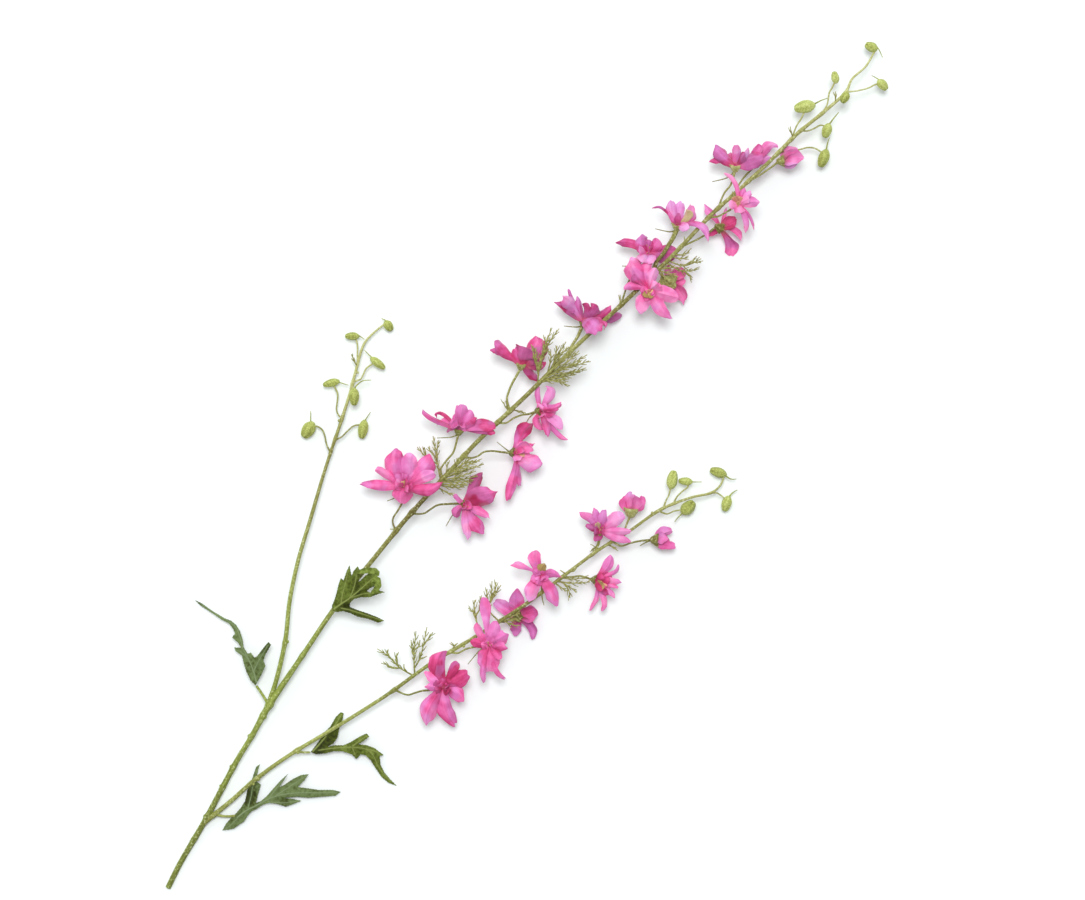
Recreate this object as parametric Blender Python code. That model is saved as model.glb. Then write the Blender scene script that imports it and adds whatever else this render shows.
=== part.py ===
"""A cut delphinium spray lying on a table: three leafy stems, 24 blooms and 4 lobed leaves.

Metres, +Z up. The main stem runs along +Y from its cut heel, and the origin is on the table under
the heel's flat. Places in the lists below are (across, down, height): steps across and down the
plan, as the spray is seen from straight above, and the height over the table in millimetres.
Radii are in millimetres, and widths of petals and buds in plan steps.
"""
import math
import random
from collections import namedtuple

import bmesh
import bpy
from mathutils import Vector
from mathutils.geometry import delaunay_2d_cdt

# Driving dimensions
STEM_LENGTH = 0.880             # main stem, cut heel to tip bud, measured straight
PLAN_HEEL = (166.5, 889.4)      # its two ends on the plan
PLAN_TIP = (873.5, 47.0)
MM = 0.001
GAP = 0.3 * MM                  # between pieces that touch
PETAL_THICK = 0.7 * MM
WIDE_PETAL = 12.5 * MM          # a petal this wide or more is cupped across
LEAF_THICK = 0.7 * MM
CURL_WIDTH = 4.2 * MM
THREAD_RADIUS = 0.6 * MM
THREAD_TIP_RADIUS = 0.45 * MM
PEDICEL_RADIUS = 0.95 * MM
SPUR_RADIUS = 0.75 * MM
CALYX_RADIUS = 2.3 * MM
CALYX_LENGTH = 3.4 * MM
ROOT_DEPTH = 1.1 * MM           # the first petal's root in the eye, and the step to each next one
ROOT_STEP = 0.2 * MM
INNER_WIDTH = 7                 # plan steps
EYE_RADIUS = 2.7 * MM
EYE_LENGTH = 4.6 * MM
STEM_SIDES = 6
STALK_SIDES = 4
HEEL_RADIUS = 2.6               # millimetres, as all radii in the lists
HEEL_HEIGHT = HEEL_RADIUS * math.cos(math.pi / STEM_SIDES)
SEED = 7

plan_run = Vector(PLAN_TIP) - Vector(PLAN_HEEL)
STEP = STEM_LENGTH / plan_run.length
TURN = math.pi / 2 - math.atan2(-plan_run.y, plan_run.x)

Stem = namedtuple("Stem", "name route")
Bloom = namedtuple("Bloom", "name stem seat facing pedicel spur petals")
Bud = namedtuple("Bud", "stem base tip width height pedicel spur")
Frond = namedtuple("Frond", "stem threads")
Leaf = namedtuple("Leaf", "name outline ribs flaps")
Petiole = namedtuple("Petiole", "stem route radius")

# Stems: (across, down, height, radius) along each; they swell at their joints
MAIN_STEM = Stem("main_stem", [
    (166.5, 889.4, HEEL_HEIGHT, HEEL_RADIUS), (180, 862.5, HEEL_HEIGHT, HEEL_RADIUS),
    (206, 818, 4.2, 2.7), (233, 767, 8, 2.7), (251, 737, 10, 2.5), (268, 704, 12.5, 3.0),
    (301, 655, 15.5, 2.5), (334, 609, 18.5, 2.3), (371, 562, 21.5, 2.3), (401, 525, 23, 2.3),
    (423, 500, 24, 2.3), (451, 470, 25, 2.2),
    (479, 440, 26, 2.2), (509, 410, 26.5, 2.2), (533, 387, 27, 2.2), (568, 352, 27, 2.1),
    (606, 317, 26.5, 2.1), (634, 293, 26, 2.1), (676, 252, 25.5, 2.0), (710, 216, 25.5, 2.0),
    (740, 189, 25.5, 1.9), (770, 161, 25, 1.9), (797, 134, 24.5, 1.8), (825, 111, 24, 1.7),
    (845, 93, 23, 1.5), (852, 79, 21.5, 1.1), (866, 66, 19, 1.0), (876, 49, 15.2, 0.9)])
BUD_SHOOT = Stem("bud_shoot", [
    (266, 708, 12, 2.0), (276, 680, 13.5, 2.3), (285, 640, 14, 2.2), (289.5, 600, 14, 2.1),
    (298, 560, 13.5, 2.0), (311, 516, 12.5, 1.9), (322, 478, 11.5, 1.7), (331, 450, 10.5, 1.6),
    (340, 423, 9.5, 1.5), (349, 395, 9, 1.4), (355, 372, 8.5, 1.4), (361, 350, 8, 1.2),
    (366, 340, 7.5, 1.1), (376, 330, 7, 0.9), (385, 323, 6, 0.9)])
FLOWER_SHOOT = Stem("flower_shoot", [
    (200, 828, 3.8, 1.8), (208, 820, 4.8, 2.3), (230, 802, 6, 2.2), (255, 780, 7.5, 2.0),
    (290, 755, 10, 1.9), (330, 731, 13, 1.8), (370, 706, 15.5, 1.8), (394, 690, 17, 1.8),
    (430, 664, 19, 1.8), (465, 643, 20.5, 1.8), (500, 621, 22, 1.8), (530, 601, 22.5, 1.8),
    (562, 577, 22.5, 1.7), (597, 551, 21, 1.6), (628, 532, 19, 1.5), (660, 510, 16.5, 1.4),
    (690, 498, 14, 1.3), (711, 493, 12, 1.2), (721, 485, 10, 0.9), (724, 477, 8, 0.9)])
STEMS = [MAIN_STEM, BUD_SHOOT, FLOWER_SHOOT]

# Blooms: seat on the calyx, the way the face looks (right, up the plan, towards the eye), the
# pedicel from its stem, the spur, and each petal's tip as (across, down, rise above the seat, width)
BLOOMS = [
    Bloom("main_bloom_01", "main_stem", (404, 488, 21), (-10, 25, 96),
          [(396, 531), (393, 524, 18), (393, 518, 14), (398, 510, 12), (402, 502, 12)],
          [(396, 497, 15), (387, 501, 14.5)],
          [(393, 452, 6, 18), (409, 454, 10, 15), (432, 456, 8, 20), (442, 483, 10, 11),
           (399, 504, -4, 19), (363, 486, 1, 12), (377, 470, 9, 8)]),
    Bloom("main_bloom_02", "main_stem", (459, 431, 24), (12, 82, 55),
          [(443, 479), (441, 469), (447, 460), (453, 453), (456, 444)], [(452, 437), (437, 438)],
          [(423, 412, 4, 8), (438, 425, -8, 11), (458, 407, -6, 7), (466, 405, 8, 14),
           (475, 412, 2, 10), (496, 425, 9, 12), (449, 430, 13, 9), (462, 414, -17, 13)]),
    Bloom("main_bloom_03", "main_stem", (521, 366, 24), (10, 85, 50),
          [(508, 409), (507, 400), (509, 391), (513, 382), (517, 375)], [],
          [(493, 350, 2, 12), (498, 341, 6, 9), (521, 343, 11, 18), (546, 338, 1, 12),
           (541, 379, -8, 12), (547, 358, -8, 12), (524, 352, -18, 13)]),
    Bloom("main_bloom_04", "main_stem", (583, 323, 19), (10, 80, 60),
          [(568, 352), (573, 344), (578, 336)], [(577, 327), (564, 326)],
          [(556, 303, 5, 16), (569, 291, 0, 6), (577, 298, 11, 9), (592, 303, 13, 14),
           (598, 334, 22, 15), (621, 316, -14, 12)]),
    Bloom("main_bloom_05", "main_stem", (648, 254, 20), (0, 30, 95),
          [(621, 306), (624, 295), (628, 283), (636, 268)], [(632, 265), (622, 266)],
          [(620, 244, 0, 10), (642, 237, 6, 14), (657, 240, 5, 10), (675, 254, -7, 14),
           (643, 263, 2, 12), (653, 264, 1, 9)]),
    Bloom("main_bloom_06", "main_stem", (649, 290, 32), (3, -10, 99),
          [(641, 287), (645, 289)], [],
          [(634, 257, 4, 19), (653, 269, 6, 13), (663, 284, 7, 10), (676, 300, 0, 17),
           (671, 318, -3, 14), (641, 313, -3, 13), (625, 288, 0, 9)]),
    Bloom("main_bloom_07", "main_stem", (666, 281, 19), (55, -35, -60),
          [(657, 271), (660, 274)], [],
          [(685, 303, -10, 14), (686, 273, -6, 14), (671, 265, -5, 9), (659, 292, -14, 12),
           (676, 289, -19, 12)]),
    Bloom("main_bloom_08", "main_stem", (677, 227, 25), (10, 80, 55),
          [(653, 274, 26), (656, 263, 28), (663, 254, 28), (668, 246, 26), (673, 238, 25)],
          [(670, 232), (655, 229)],
          [(654, 210, 2, 6), (672, 203, 3, 9), (682, 204, -5, 9), (692, 208, 6, 9),
           (705, 242, 9, 8), (688, 229, 12, 9), (680, 212, -17, 11)]),
    Bloom("main_bloom_09", "main_stem", (719, 227, 15), (65, -35, -50),
          [(681, 248), (690, 243), (700, 238), (708, 233)], [],
          [(738, 221, 1, 12), (733, 254, -15, 12), (742, 239, -2, 7), (705, 204, -5, 8),
           (707, 236, -6, 6)]),
    Bloom("main_bloom_10", "main_stem", (738, 205, 32), (5, 0, 99),
          [(709, 217), (717, 217), (725, 213), (732, 209)], [],
          [(725, 177, 2, 6), (747, 194, 5, 7), (757, 203, 2, 10), (745, 231, -3, 6),
           (753, 229, -7, 5), (730, 209, 5, 7)]),
    Bloom("main_bloom_11", "main_stem", (735, 168, 26), (0, 85, 50),
          [(718, 208), (721, 200), (725, 192), (730, 186), (733, 178)], [(727, 178), (712, 182)],
          [(712, 150, 2, 13), (713, 163, -4, 7), (738, 146, 4, 10), (752, 151, 7, 8),
           (765, 159, 5, 12), (731, 153, -16, 12)]),
    Bloom("main_bloom_12", "main_stem", (756, 164, 13), (45, 70, 20),
          [(735, 194), (740, 183, 19), (746, 175, 15)], [],
          [(777, 147, 2, 9), (763, 145, 5, 8), (772, 155, -4, 7), (752, 150, -6, 8)]),
    Bloom("main_bloom_13", "main_stem", (781, 161, 19), (95, 12, 5),
          [(748, 182), (757, 177), (766, 171), (773, 166)], [],
          [(800, 149, 3, 10), (804, 161, 4, 11), (795, 167, -2, 9), (798, 155, -7, 9)]),
    Bloom("main_bloom_14", "main_stem", (539, 411, 22), (80, 5, 60),
          [(497, 422), (506, 423), (514, 418), (522, 415), (529, 414)], [(530, 417), (526, 423)],
          [(551, 386, 4, 9), (540, 387, -2, 7), (561, 404, 9, 6), (563, 430, 4, 10),
           (565, 440, -3, 5), (548, 437, 5, 7), (539, 428, -4, 9), (556, 411, -13, 11)]),
    Bloom("main_bloom_15", "main_stem", (513, 453, 20), (80, 0, 60),
          [(464, 457), (471, 458), (478, 456), (484, 452), (492, 451), (501, 452)],
          [(507, 450), (497, 442)],
          [(530, 423, 6, 12), (535, 445, 9, 7), (541, 466, 4, 16), (507, 498, -5, 9),
           (520, 484, -8, 6), (533, 454, 12, 9), (530, 456, -13, 12)]),
    Bloom("main_bloom_16", "main_stem", (463, 504, 20), (70, -20, 65),
          [(412, 513), (418, 514), (425, 513), (431, 509), (438, 505), (448, 504)],
          [(455, 511), (446, 526)],
          [(481, 474, 3, 13), (494, 493, 8, 20), (488, 518, 5, 9), (474, 537, -3, 17),
           (455, 516, 3, 9), (455, 495, 5, 6), (480, 510, -20, 12)]),
    Bloom("side_bloom_01", "flower_shoot", (443, 687, 21), (10, 5, 99),
          [(395, 690), (401, 693), (408, 695), (415, 693), (422, 691), (431, 690)], [],
          [(441, 652, 5, 17), (458, 662, 7, 9), (468, 674, 3, 16), (463, 700, 1, 13),
           (452, 725, -5, 16), (429, 723, -2, 17), (426, 673, 3, 8), (426, 686, 6, 8)]),
    Bloom("side_bloom_02", "flower_shoot", (489, 645, 25), (10, 5, 99),
          [(450, 652), (458, 653), (466, 649), (474, 647), (482, 646)], [(480, 650), (468, 664)],
          [(484, 600, 3, 11), (477, 624, 5, 8), (472, 641, 3, 10), (507, 631, 4, 17),
           (507, 647, 7, 8), (502, 658, 5, 9), (483, 679, -3, 12), (502, 677, -5, 6)]),
    Bloom("side_bloom_03", "flower_shoot", (517, 617, 11), (15, 0, -90),
          [(500, 621), (504, 622), (509, 620)], [],
          [(517, 590, -3, 13), (498, 602, -4, 12), (539, 613, -2, 15), (534, 640, -6, 8),
           (515, 637, -6, 10)]),
    Bloom("side_bloom_04", "flower_shoot", (541, 575, 28), (0, 10, 99),
          [(543, 592), (542, 584)], [(542, 596), (544, 605)],
          [(536, 551, 4, 12), (511, 566, 2, 7), (562, 577, 4, 8), (529, 600, 1, 14),
           (558, 604, -2, 11), (547, 563, 8, 7)]),
    Bloom("side_bloom_05", "flower_shoot", (595, 580, 17), (80, -10, 60),
          [(562, 577), (571, 577), (580, 576), (587, 578)], [],
          [(612, 556, 6, 10), (619, 567, 8, 6), (622, 583, 6, 8), (615, 597, 2, 7),
           (604, 609, -2, 6), (590, 608, -6, 6), (608, 576, -17, 9)]),
    Bloom("side_bloom_06", "flower_shoot", (600, 532, 22), (5, 35, 93),
          [(592, 555), (596, 549), (599, 543)], [(597, 545), (590, 552)],
          [(580, 514, 3, 8), (595, 509, 4, 8), (604, 511, 7, 8), (622, 516, 3, 14),
           (631, 537, 3, 13), (590, 540, -2, 9)]),
    Bloom("side_bloom_07", "flower_shoot", (631, 513, 17), (10, 97, 20),
          [(622, 536), (625, 529), (628, 521)], [],
          [(622, 496, 0, 9), (630, 492, 5, 9), (645, 497, 0, 9), (634, 496, -6, 10)]),
    Bloom("side_bloom_08", "flower_shoot", (655, 540, 13), (97, -3, 20),
          [(613, 542), (621, 546), (631, 543), (641, 541)], [(645, 543), (640, 546)],
          [(673, 530, 0, 10), (676, 548, 2, 10), (672, 539, 6, 9), (670, 545, -6, 9)]),
]

# Buds: stem, base, tip, width, height, the pedicel from its stem, the spur
BUDS = [
    Bud("main_stem", (877, 49), (866, 44), 10, 15, [], [(878, 47), (883, 57)]),
    Bud("main_stem", (836, 83), (834, 72), 8, 23,
        [(821, 114), (826, 107), (828, 100), (829, 93), (832, 88), (835, 81)], []),
    Bud("main_stem", (879, 80), (887, 89), 9.5, 14,
        [(846, 92), (853, 91.5), (861, 90), (868, 88), (874, 85), (881, 82)], [(879, 79), (872, 75)]),
    Bud("main_stem", (814, 105), (795, 109), 13, 20,
        [(792, 139), (794, 132), (797, 125), (801, 119), (805, 111)], [(820, 101), (828, 98)]),
    Bud("main_stem", (847, 93), (842, 103), 9, 25, [], []),
    Bud("main_stem", (829, 124), (825, 137), 10, 15,
        [(801, 131), (808, 131), (815, 128), (821, 125), (827, 127)], [(834, 118), (839, 112)]),
    Bud("main_stem", (827, 150), (821, 166), 11, 11,
        [(778, 153, 24), (785, 151, 17), (792, 150, 13), (800, 149, 11.5), (808, 147, 11.5),
         (816, 148, 11.5), (824, 153, 11)], [(828, 143), (830, 137)]),
    Bud("bud_shoot", (385, 321), (391, 330), 9, 5, [], [(385, 320), (381, 318)]),
    Bud("bud_shoot", (358, 336), (345, 336), 8, 7.5,
        [(357, 364), (357, 355), (357, 345), (355, 337)], [(358, 335), (364, 339)]),
    Bud("bud_shoot", (371, 358), (384, 368), 8, 7.5,
        [(354, 382), (360, 379), (363, 374), (366, 368), (374, 362)], [(371, 357), (364, 350)]),
    Bud("bud_shoot", (338, 381), (323, 385), 8, 7,
        [(342, 418), (338, 415), (336, 409), (337, 400), (337, 393), (333, 384)],
        [(338, 382), (348, 385)]),
    Bud("bud_shoot", (354, 389), (354, 405), 10, 14.5, [(352, 384, 9), (353, 391, 14)],
        [(355, 387), (362, 381), (371, 380)]),
    Bud("bud_shoot", (312, 423), (303, 437), 13, 4.44,
        [(330, 453), (326, 444), (324, 435), (321, 429), (315, 426), (309, 428)],
        [(310, 423), (310, 411)]),
    Bud("bud_shoot", (364, 421), (361, 438), 10, 5,
        [(335, 440), (341, 437), (347, 431), (353, 426), (359, 425), (363, 428)],
        [(364, 421), (370, 412)]),
    Bud("flower_shoot", (726, 475), (711, 470), 10, 7.5, [], [(731, 479), (737, 479)]),
    Bud("flower_shoot", (729, 497), (725, 511), 10, 6,
        [(711, 493), (717, 493), (722, 496), (728, 501)], [(733, 493), (738, 490)]),
    Bud("flower_shoot", (671, 488), (674, 471), 11, 14,
        [(663, 508), (666, 501), (669, 495), (671, 486)], []),
    Bud("flower_shoot", (692, 482), (679, 481), 8, 12,
        [(673, 504), (677, 497), (683, 491), (688, 487), (688, 482)], [(692, 482), (702, 482)]),
    Bud("flower_shoot", (683, 513), (694, 502), 13, 8,
        [(659, 511), (667, 514), (675, 511), (685, 510)], [(684, 512), (678, 518), (675, 522)]),
]

# Thread leaves: each thread runs from its root, on the stem or on an earlier thread, to its tip
FRONDS = [
    Frond("main_stem", [
        [(444, 478, 25), (462, 472, 29), (484, 464, 31)], [(446, 476, 25), (463, 467, 29), (479, 461, 32)],
        [(442, 480, 25), (458, 477, 30), (476, 471, 33)], [(440, 483, 25), (457, 482, 28), (473, 481, 31)],
        [(438, 485, 25), (450, 487, 27), (465, 487, 28)], [(437, 487, 24), (446, 492, 24), (456, 496, 22)],
        [(452, 469, 25), (456, 465, 27), (457, 458, 29)], [(446, 476, 25), (447, 469, 27), (448, 462, 28)]]),
    Frond("main_stem", [
        [(441, 481, 24), (437, 462, 18), (433, 436, 17)], [(437, 462, 18), (437, 450, 19), (439, 440, 20)],
        [(436, 458, 18), (431, 452, 17), (428, 447, 16)], [(438, 464, 18), (426, 457, 15), (417, 447, 14)],
        [(428, 458, 15), (424, 452, 15), (424, 447, 16)]]),
    Frond("main_stem", [
        [(537, 384, 27), (541, 358, 32), (552, 328, 34)], [(543, 352, 33), (551, 340, 34), (559, 329, 33)],
        [(539, 370, 30), (534, 358, 33), (533, 346, 33)], [(541, 362, 32), (545, 350, 33), (545, 337, 35)],
        [(546, 374, 28), (551, 358, 32), (549, 351, 33)]]),
    Frond("main_stem", [
        [(547, 373, 27), (557, 357, 30), (566, 342, 31)], [(553, 363, 29), (556, 354, 31), (557, 346, 32)],
        [(545, 375, 27), (563, 366, 30), (579, 351, 31)], [(543, 378, 27), (565, 368, 31), (587, 355, 32)],
        [(560, 369, 31), (575, 366, 31), (589, 361, 31)], [(541, 381, 27), (563, 376, 30), (586, 368, 31)],
        [(563, 376, 30), (571, 373, 29), (578, 371, 28)], [(540, 383, 27), (554, 381, 31), (570, 386, 32)],
        [(554, 381, 31), (560, 380, 32), (569, 379, 31)]]),
    Frond("main_stem", [
        [(668, 261, 26), (684, 266, 26), (701, 259, 27)], [(684, 266, 26), (692, 262, 27), (701, 263, 26)],
        [(666, 263, 26), (682, 271, 25), (699, 269, 25)], [(682, 271, 25), (688, 274, 25), (692, 280, 23)],
        [(674, 256, 26), (682, 255, 28), (689, 252, 29)], [(672, 257, 26), (680, 259, 28), (688, 258, 28)]]),
    Frond("flower_shoot", [
        [(413, 675, 18), (400, 668, 17), (389, 657, 15), (377, 649, 14)],
        [(400, 668, 17), (391, 668, 15), (383, 662, 14)], [(394, 661, 16), (388, 655, 17), (387, 650, 18)],
        [(398, 667, 17), (396, 660, 18), (397, 653, 18)], [(407, 671, 18), (404, 668, 19), (404, 664, 20)]]),
    Frond("flower_shoot", [
        [(414, 674, 18), (414, 656, 20), (416, 631, 22)], [(414, 656, 20), (412, 648, 20), (411, 640, 19)],
        [(415, 668, 19), (421, 655, 21), (427, 627, 22)], [(424, 645, 22), (429, 638, 23), (433, 632, 23)],
        [(419, 659, 21), (423, 658, 22), (427, 656, 22)], [(416, 650, 20), (419, 646, 21), (420, 640, 22)]]),
    Frond("flower_shoot", [
        [(481, 634, 20), (476, 620, 18), (475, 614, 18), (468, 608, 17)],
        [(475, 616, 18), (480, 608, 19), (480, 596, 19)], [(475, 614, 18), (474, 606, 18), (475, 600, 18)]]),
    Frond("flower_shoot", [
        [(499, 621, 22), (489, 610, 20), (491, 597, 20), (492, 581, 21)],
        [(490, 603, 20), (495, 594, 21), (501, 585, 21)], [(491, 598, 20), (495, 590, 19), (496, 582, 18)],
        [(489, 606, 20), (487, 598, 21), (487, 589, 22)]]),
    Frond("flower_shoot", [
        [(556, 581, 23), (573, 583, 23), (590, 582, 20)], [(558, 580, 23), (568, 586, 22), (577, 592, 20)],
        [(565, 585, 22), (569, 591, 21), (570, 598, 20)], [(561, 577, 23), (573, 579, 24), (588, 577, 20)],
        [(566, 574, 23), (563, 572, 24), (560, 570, 25)], [(570, 571, 22), (574, 571, 24), (577, 567, 25)],
        [(555, 583, 23), (562, 588, 22), (567, 591, 20)]]),
    Frond("flower_shoot", [
        [(452, 653, 20), (454, 646, 22), (451, 642, 23)], [(454, 647, 22), (455, 645, 22), (458, 643, 22)]]),
    Frond("flower_shoot", [
        [(608, 545, 20), (613, 547, 19), (618, 551, 18)], [(600, 549, 20), (594, 548, 20), (591, 551, 19)]]),
    Frond("bud_shoot", [[(357, 366, 9), (354, 361, 11), (351, 354, 13)]]),
    Frond("main_stem", [
        [(794, 138, 25), (791, 134, 27), (790, 127, 28)], [(835, 101, 24), (835, 98, 26), (835, 92, 27)],
        [(399, 527, 23), (394, 529, 24), (390, 529, 24)], [(511, 409, 27), (518, 411, 24), (526, 413, 22)],
        [(508, 410, 27), (505, 406, 29), (504, 402, 30)], [(619, 306, 27), (620, 301, 29), (620, 295, 30)],
        [(683, 246, 26), (684, 242, 28), (684, 237, 29)], [(731, 198, 26), (732, 195, 28), (732, 192, 29)]]),
]

# Lobed leaves: outline on the plan, the ribs with their heights, and tips that curl over
LEAVES = [
    Leaf("upper_leaf", [
        (333, 611), (332, 606), (335, 599), (337, 592), (339, 584), (341, 578), (344, 580), (347, 571),
        (350, 565), (352, 572), (352, 581), (355, 574), (358, 566), (361, 571), (359, 582), (365, 576),
        (371, 572), (376, 575), (377, 580), (371, 584), (365, 588), (366, 592), (372, 593), (378, 590),
        (385, 592), (378, 594), (370, 597), (361, 597), (354, 599), (350, 603), (350, 607), (357, 610),
        (366, 613), (376, 617), (384, 621), (378, 623), (368, 619), (358, 617), (350, 613), (343, 611),
        (337, 612)],
        [[(334, 609, 21.6), (341, 604, 24), (350, 598, 27), (362, 588, 30), (374, 577, 33)],
         [(341, 604, 24), (343, 593, 26), (346, 582, 28), (349, 568, 31)],
         [(350, 598, 27), (355, 585, 30), (358, 568, 33)],
         [(350, 598, 27), (362, 594, 27), (372, 593, 26), (384, 592, 24)],
         [(341, 608, 22.5), (350, 610, 21), (362, 614, 17), (383, 621, 11)]],
        [[(372, 576, 33), (377, 572, 36), (369, 570, 38), (357, 572, 37)],
         [(373, 578, 33), (378, 580, 36), (378, 587, 35), (372, 593, 31)]]),
    Leaf("side_leaf", [
        (255, 686), (261, 675), (265, 666), (263, 661), (265, 655), (271, 645), (268, 642), (263, 648),
        (257, 656), (254, 658), (250, 653), (247, 654), (243, 648), (242, 640), (239, 631), (236, 625),
        (230, 620), (222, 617), (214, 612), (207, 607), (200, 603), (193, 600), (199, 606), (207, 611),
        (214, 616), (221, 620), (228, 625), (232, 630), (234, 634), (231, 638), (237, 643), (240, 648),
        (233, 648), (235, 652), (241, 656), (243, 664), (246, 673), (250, 681)],
        [[(256, 683, 11), (253, 672, 10), (248, 660, 9), (242, 649, 8)],
         [(242, 649, 8), (240, 640, 8), (235, 628, 7), (225, 620, 6), (212, 612, 5), (199, 604, 3)],
         [(253, 672, 10), (259, 660, 12), (268, 645, 15)], [(248, 660, 9), (241, 653, 7), (234, 650, 6)]],
        []),
    Leaf("middle_leaf", [
        (310, 753), (316, 745), (321, 738), (325, 732), (330, 727), (335, 718), (340, 713), (343, 714),
        (342, 720), (339, 728), (337, 738), (333, 744), (326, 748), (334, 746), (343, 746), (350, 743),
        (358, 738), (366, 734), (369, 737), (364, 741), (358, 745), (366, 746), (374, 749), (383, 756),
        (379, 757), (380, 766), (384, 774), (390, 781), (396, 787), (388, 784), (381, 778), (375, 769),
        (370, 761), (365, 756), (360, 755), (356, 760), (351, 755), (342, 752), (333, 752), (325, 754),
        (316, 755)],
        [[(312, 752, 8), (318, 746, 8), (327, 735, 8), (335, 725, 7.5), (341, 715, 7)],
         [(318, 751, 8), (333, 749, 8), (350, 748, 8), (365, 750, 7), (373, 757, 6), (379, 770, 4),
          (391, 783, 2)],
         [(352, 747, 8), (360, 741, 9), (367, 736, 10)], [(365, 750, 7), (374, 752, 6), (381, 756, 5)],
         [(352, 749, 7.5), (355, 757, 6)]],
        []),
    Leaf("low_leaf", [
        (236, 817), (231, 821), (226, 826), (221, 832), (228, 831), (233, 830), (238, 826), (243, 823),
        (246, 818), (250, 813), (256, 810), (262, 806), (268, 804), (276, 805), (285, 808), (293, 805),
        (301, 802), (292, 800), (283, 799), (295, 798), (308, 799), (322, 798), (335, 797), (340, 793),
        (332, 791), (318, 791), (305, 789), (297, 788), (304, 781), (308, 775), (300, 776), (292, 780),
        (283, 786), (279, 788), (284, 780), (288, 774), (280, 781), (272, 790), (266, 797), (260, 802),
        (255, 804), (257, 796), (260, 786), (255, 782), (257, 772), (259, 765), (255, 768), (252, 777),
        (249, 786), (246, 792), (244, 802), (242, 809)],
        [[(236, 819, 4.2), (245, 812, 4.4), (255, 807, 4.6), (266, 801, 5.5), (280, 796, 6), (300, 794, 5),
          (320, 794, 4), (337, 794, 2.5)],
         [(245, 812, 4.4), (236, 820, 4), (229, 827, 3), (223, 831, 2)],
         [(247, 809, 4.2), (250, 798, 3.4), (252, 786, 2.6), (257, 769, 3.5)],
         [(268, 800, 5.5), (276, 789, 7), (286, 776, 8)], [(276, 796, 6), (290, 787, 6), (305, 777, 5)],
         [(268, 803, 5.5), (283, 804, 4), (298, 802, 3)]],
        []),
]
PETIOLES = [
    Petiole("main_stem", [(267, 705, 12.5), (262, 695, 12.2), (256, 686.5, 11.2)], 1.2),
    Petiole("flower_shoot", [(296, 752, 10), (303, 753, 8.8), (309.5, 753, 8)], 1.0),
    Petiole("flower_shoot", [(214, 816, 5.0), (224, 817.5, 4.6), (234, 817, 4.3)], 1.1),
]

# Colours of the pieces, linear red, green, blue, and their roughness
STEM_LOOK = ((0.26, 0.30, 0.075), 0.55)
PETAL_LOOK = ((0.79, 0.13, 0.47), 0.60)
SHADED_PETAL_LOOK = ((0.58, 0.06, 0.30), 0.62)
LEAF_LOOK = ((0.10, 0.22, 0.065), 0.58)


def turned(right, up, towards):
    """Direction on the turned plan: right and up the plan, and towards the eye."""
    cosine, sine = math.cos(TURN), math.sin(TURN)
    return Vector((right * cosine - up * sine, right * sine + up * cosine, towards))


def place(across, down, height=0.0):
    """Point in metres for a place on the plan, from the middle of the heel's flat."""
    heel, flat_end = MAIN_STEM.route[0], MAIN_STEM.route[1]
    right = (across - (heel[0] + flat_end[0]) / 2) * STEP
    up = ((heel[1] + flat_end[1]) / 2 - down) * STEP
    return turned(right, up, height * MM)


def nearest_on(lines, point):
    """Point of a list of polylines that lies nearest to a point, seen from above."""
    best = None
    for line in lines:
        for start, end in zip(line, line[1:]):
            run = end - start
            share = (point - start).xy.dot(run.xy) / max(run.xy.length_squared, 1e-12)
            found = start + run * min(max(share, 0.0), 1.0)
            distance = (found - point).xy.length
            if best is None or distance < best[0]:
                best = (distance, found)
    return best[1]


def with_heights(route, start, end):
    """Points from start through a route to end; those with no height take it along the way."""
    points = [start] + [place(*entry) for entry in route] + [end]
    known = [True] + [len(entry) == 3 for entry in route] + [True]
    lengths = [0.0]
    for first, second in zip(points, points[1:]):
        lengths.append(lengths[-1] + (second - first).xy.length)
    anchors = [index for index, sure in enumerate(known) if sure]
    for low, high in zip(anchors, anchors[1:]):
        for index in range(low + 1, high):
            share = (lengths[index] - lengths[low]) / (lengths[high] - lengths[low])
            points[index].z = points[low].z + (points[high].z - points[low].z) * share
    return points


def finish(name, bm):
    """Object from a closed mesh, its faces turned outwards."""
    bmesh.ops.recalc_face_normals(bm, faces=bm.faces)
    mesh = bpy.data.meshes.new(name)
    bm.to_mesh(mesh)
    bm.free()
    found = bpy.data.objects.new(name, mesh)
    bpy.context.scene.collection.objects.link(found)
    return found


def skin_rings(bm, rings):
    """Faces between rings of vertices; a ring of one vertex is a point, a wide end gets a cap."""
    for low, high in zip(rings, rings[1:]):
        count = max(len(low), len(high))
        for side in range(count):
            after = (side + 1) % count
            corners = [low[side % len(low)], low[after % len(low)],
                       high[after % len(high)], high[side % len(high)]]
            bm.faces.new(list(dict.fromkeys(corners)))
    for end in (rings[0], rings[-1]):
        if len(end) > 2:
            bm.faces.new(end)


def tube(name, points, radii, sides):
    """Closed tube along a route, with a flat side underneath where the route lies level."""
    bm = bmesh.new()
    rings = []
    side = None
    for index, point in enumerate(points):
        before = points[max(index - 1, 0)]
        after = points[min(index + 1, len(points) - 1)]
        along = (after - before).normalized()
        if side is None:
            side = along.cross(Vector((0, 0, 1)))
            side = side if side.length > 0.1 else Vector((1, 0, 0))
        side = (side - along * side.dot(along)).normalized()
        up = side.cross(along)
        angles = [-math.pi / 2 + (count + 0.5) * 2 * math.pi / sides for count in range(sides)]
        rings.append([bm.verts.new(point + (side * math.cos(angle) + up * math.sin(angle)) * radii[index])
                      for angle in angles])
    skin_rings(bm, rings)
    return finish(name, bm)


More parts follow.
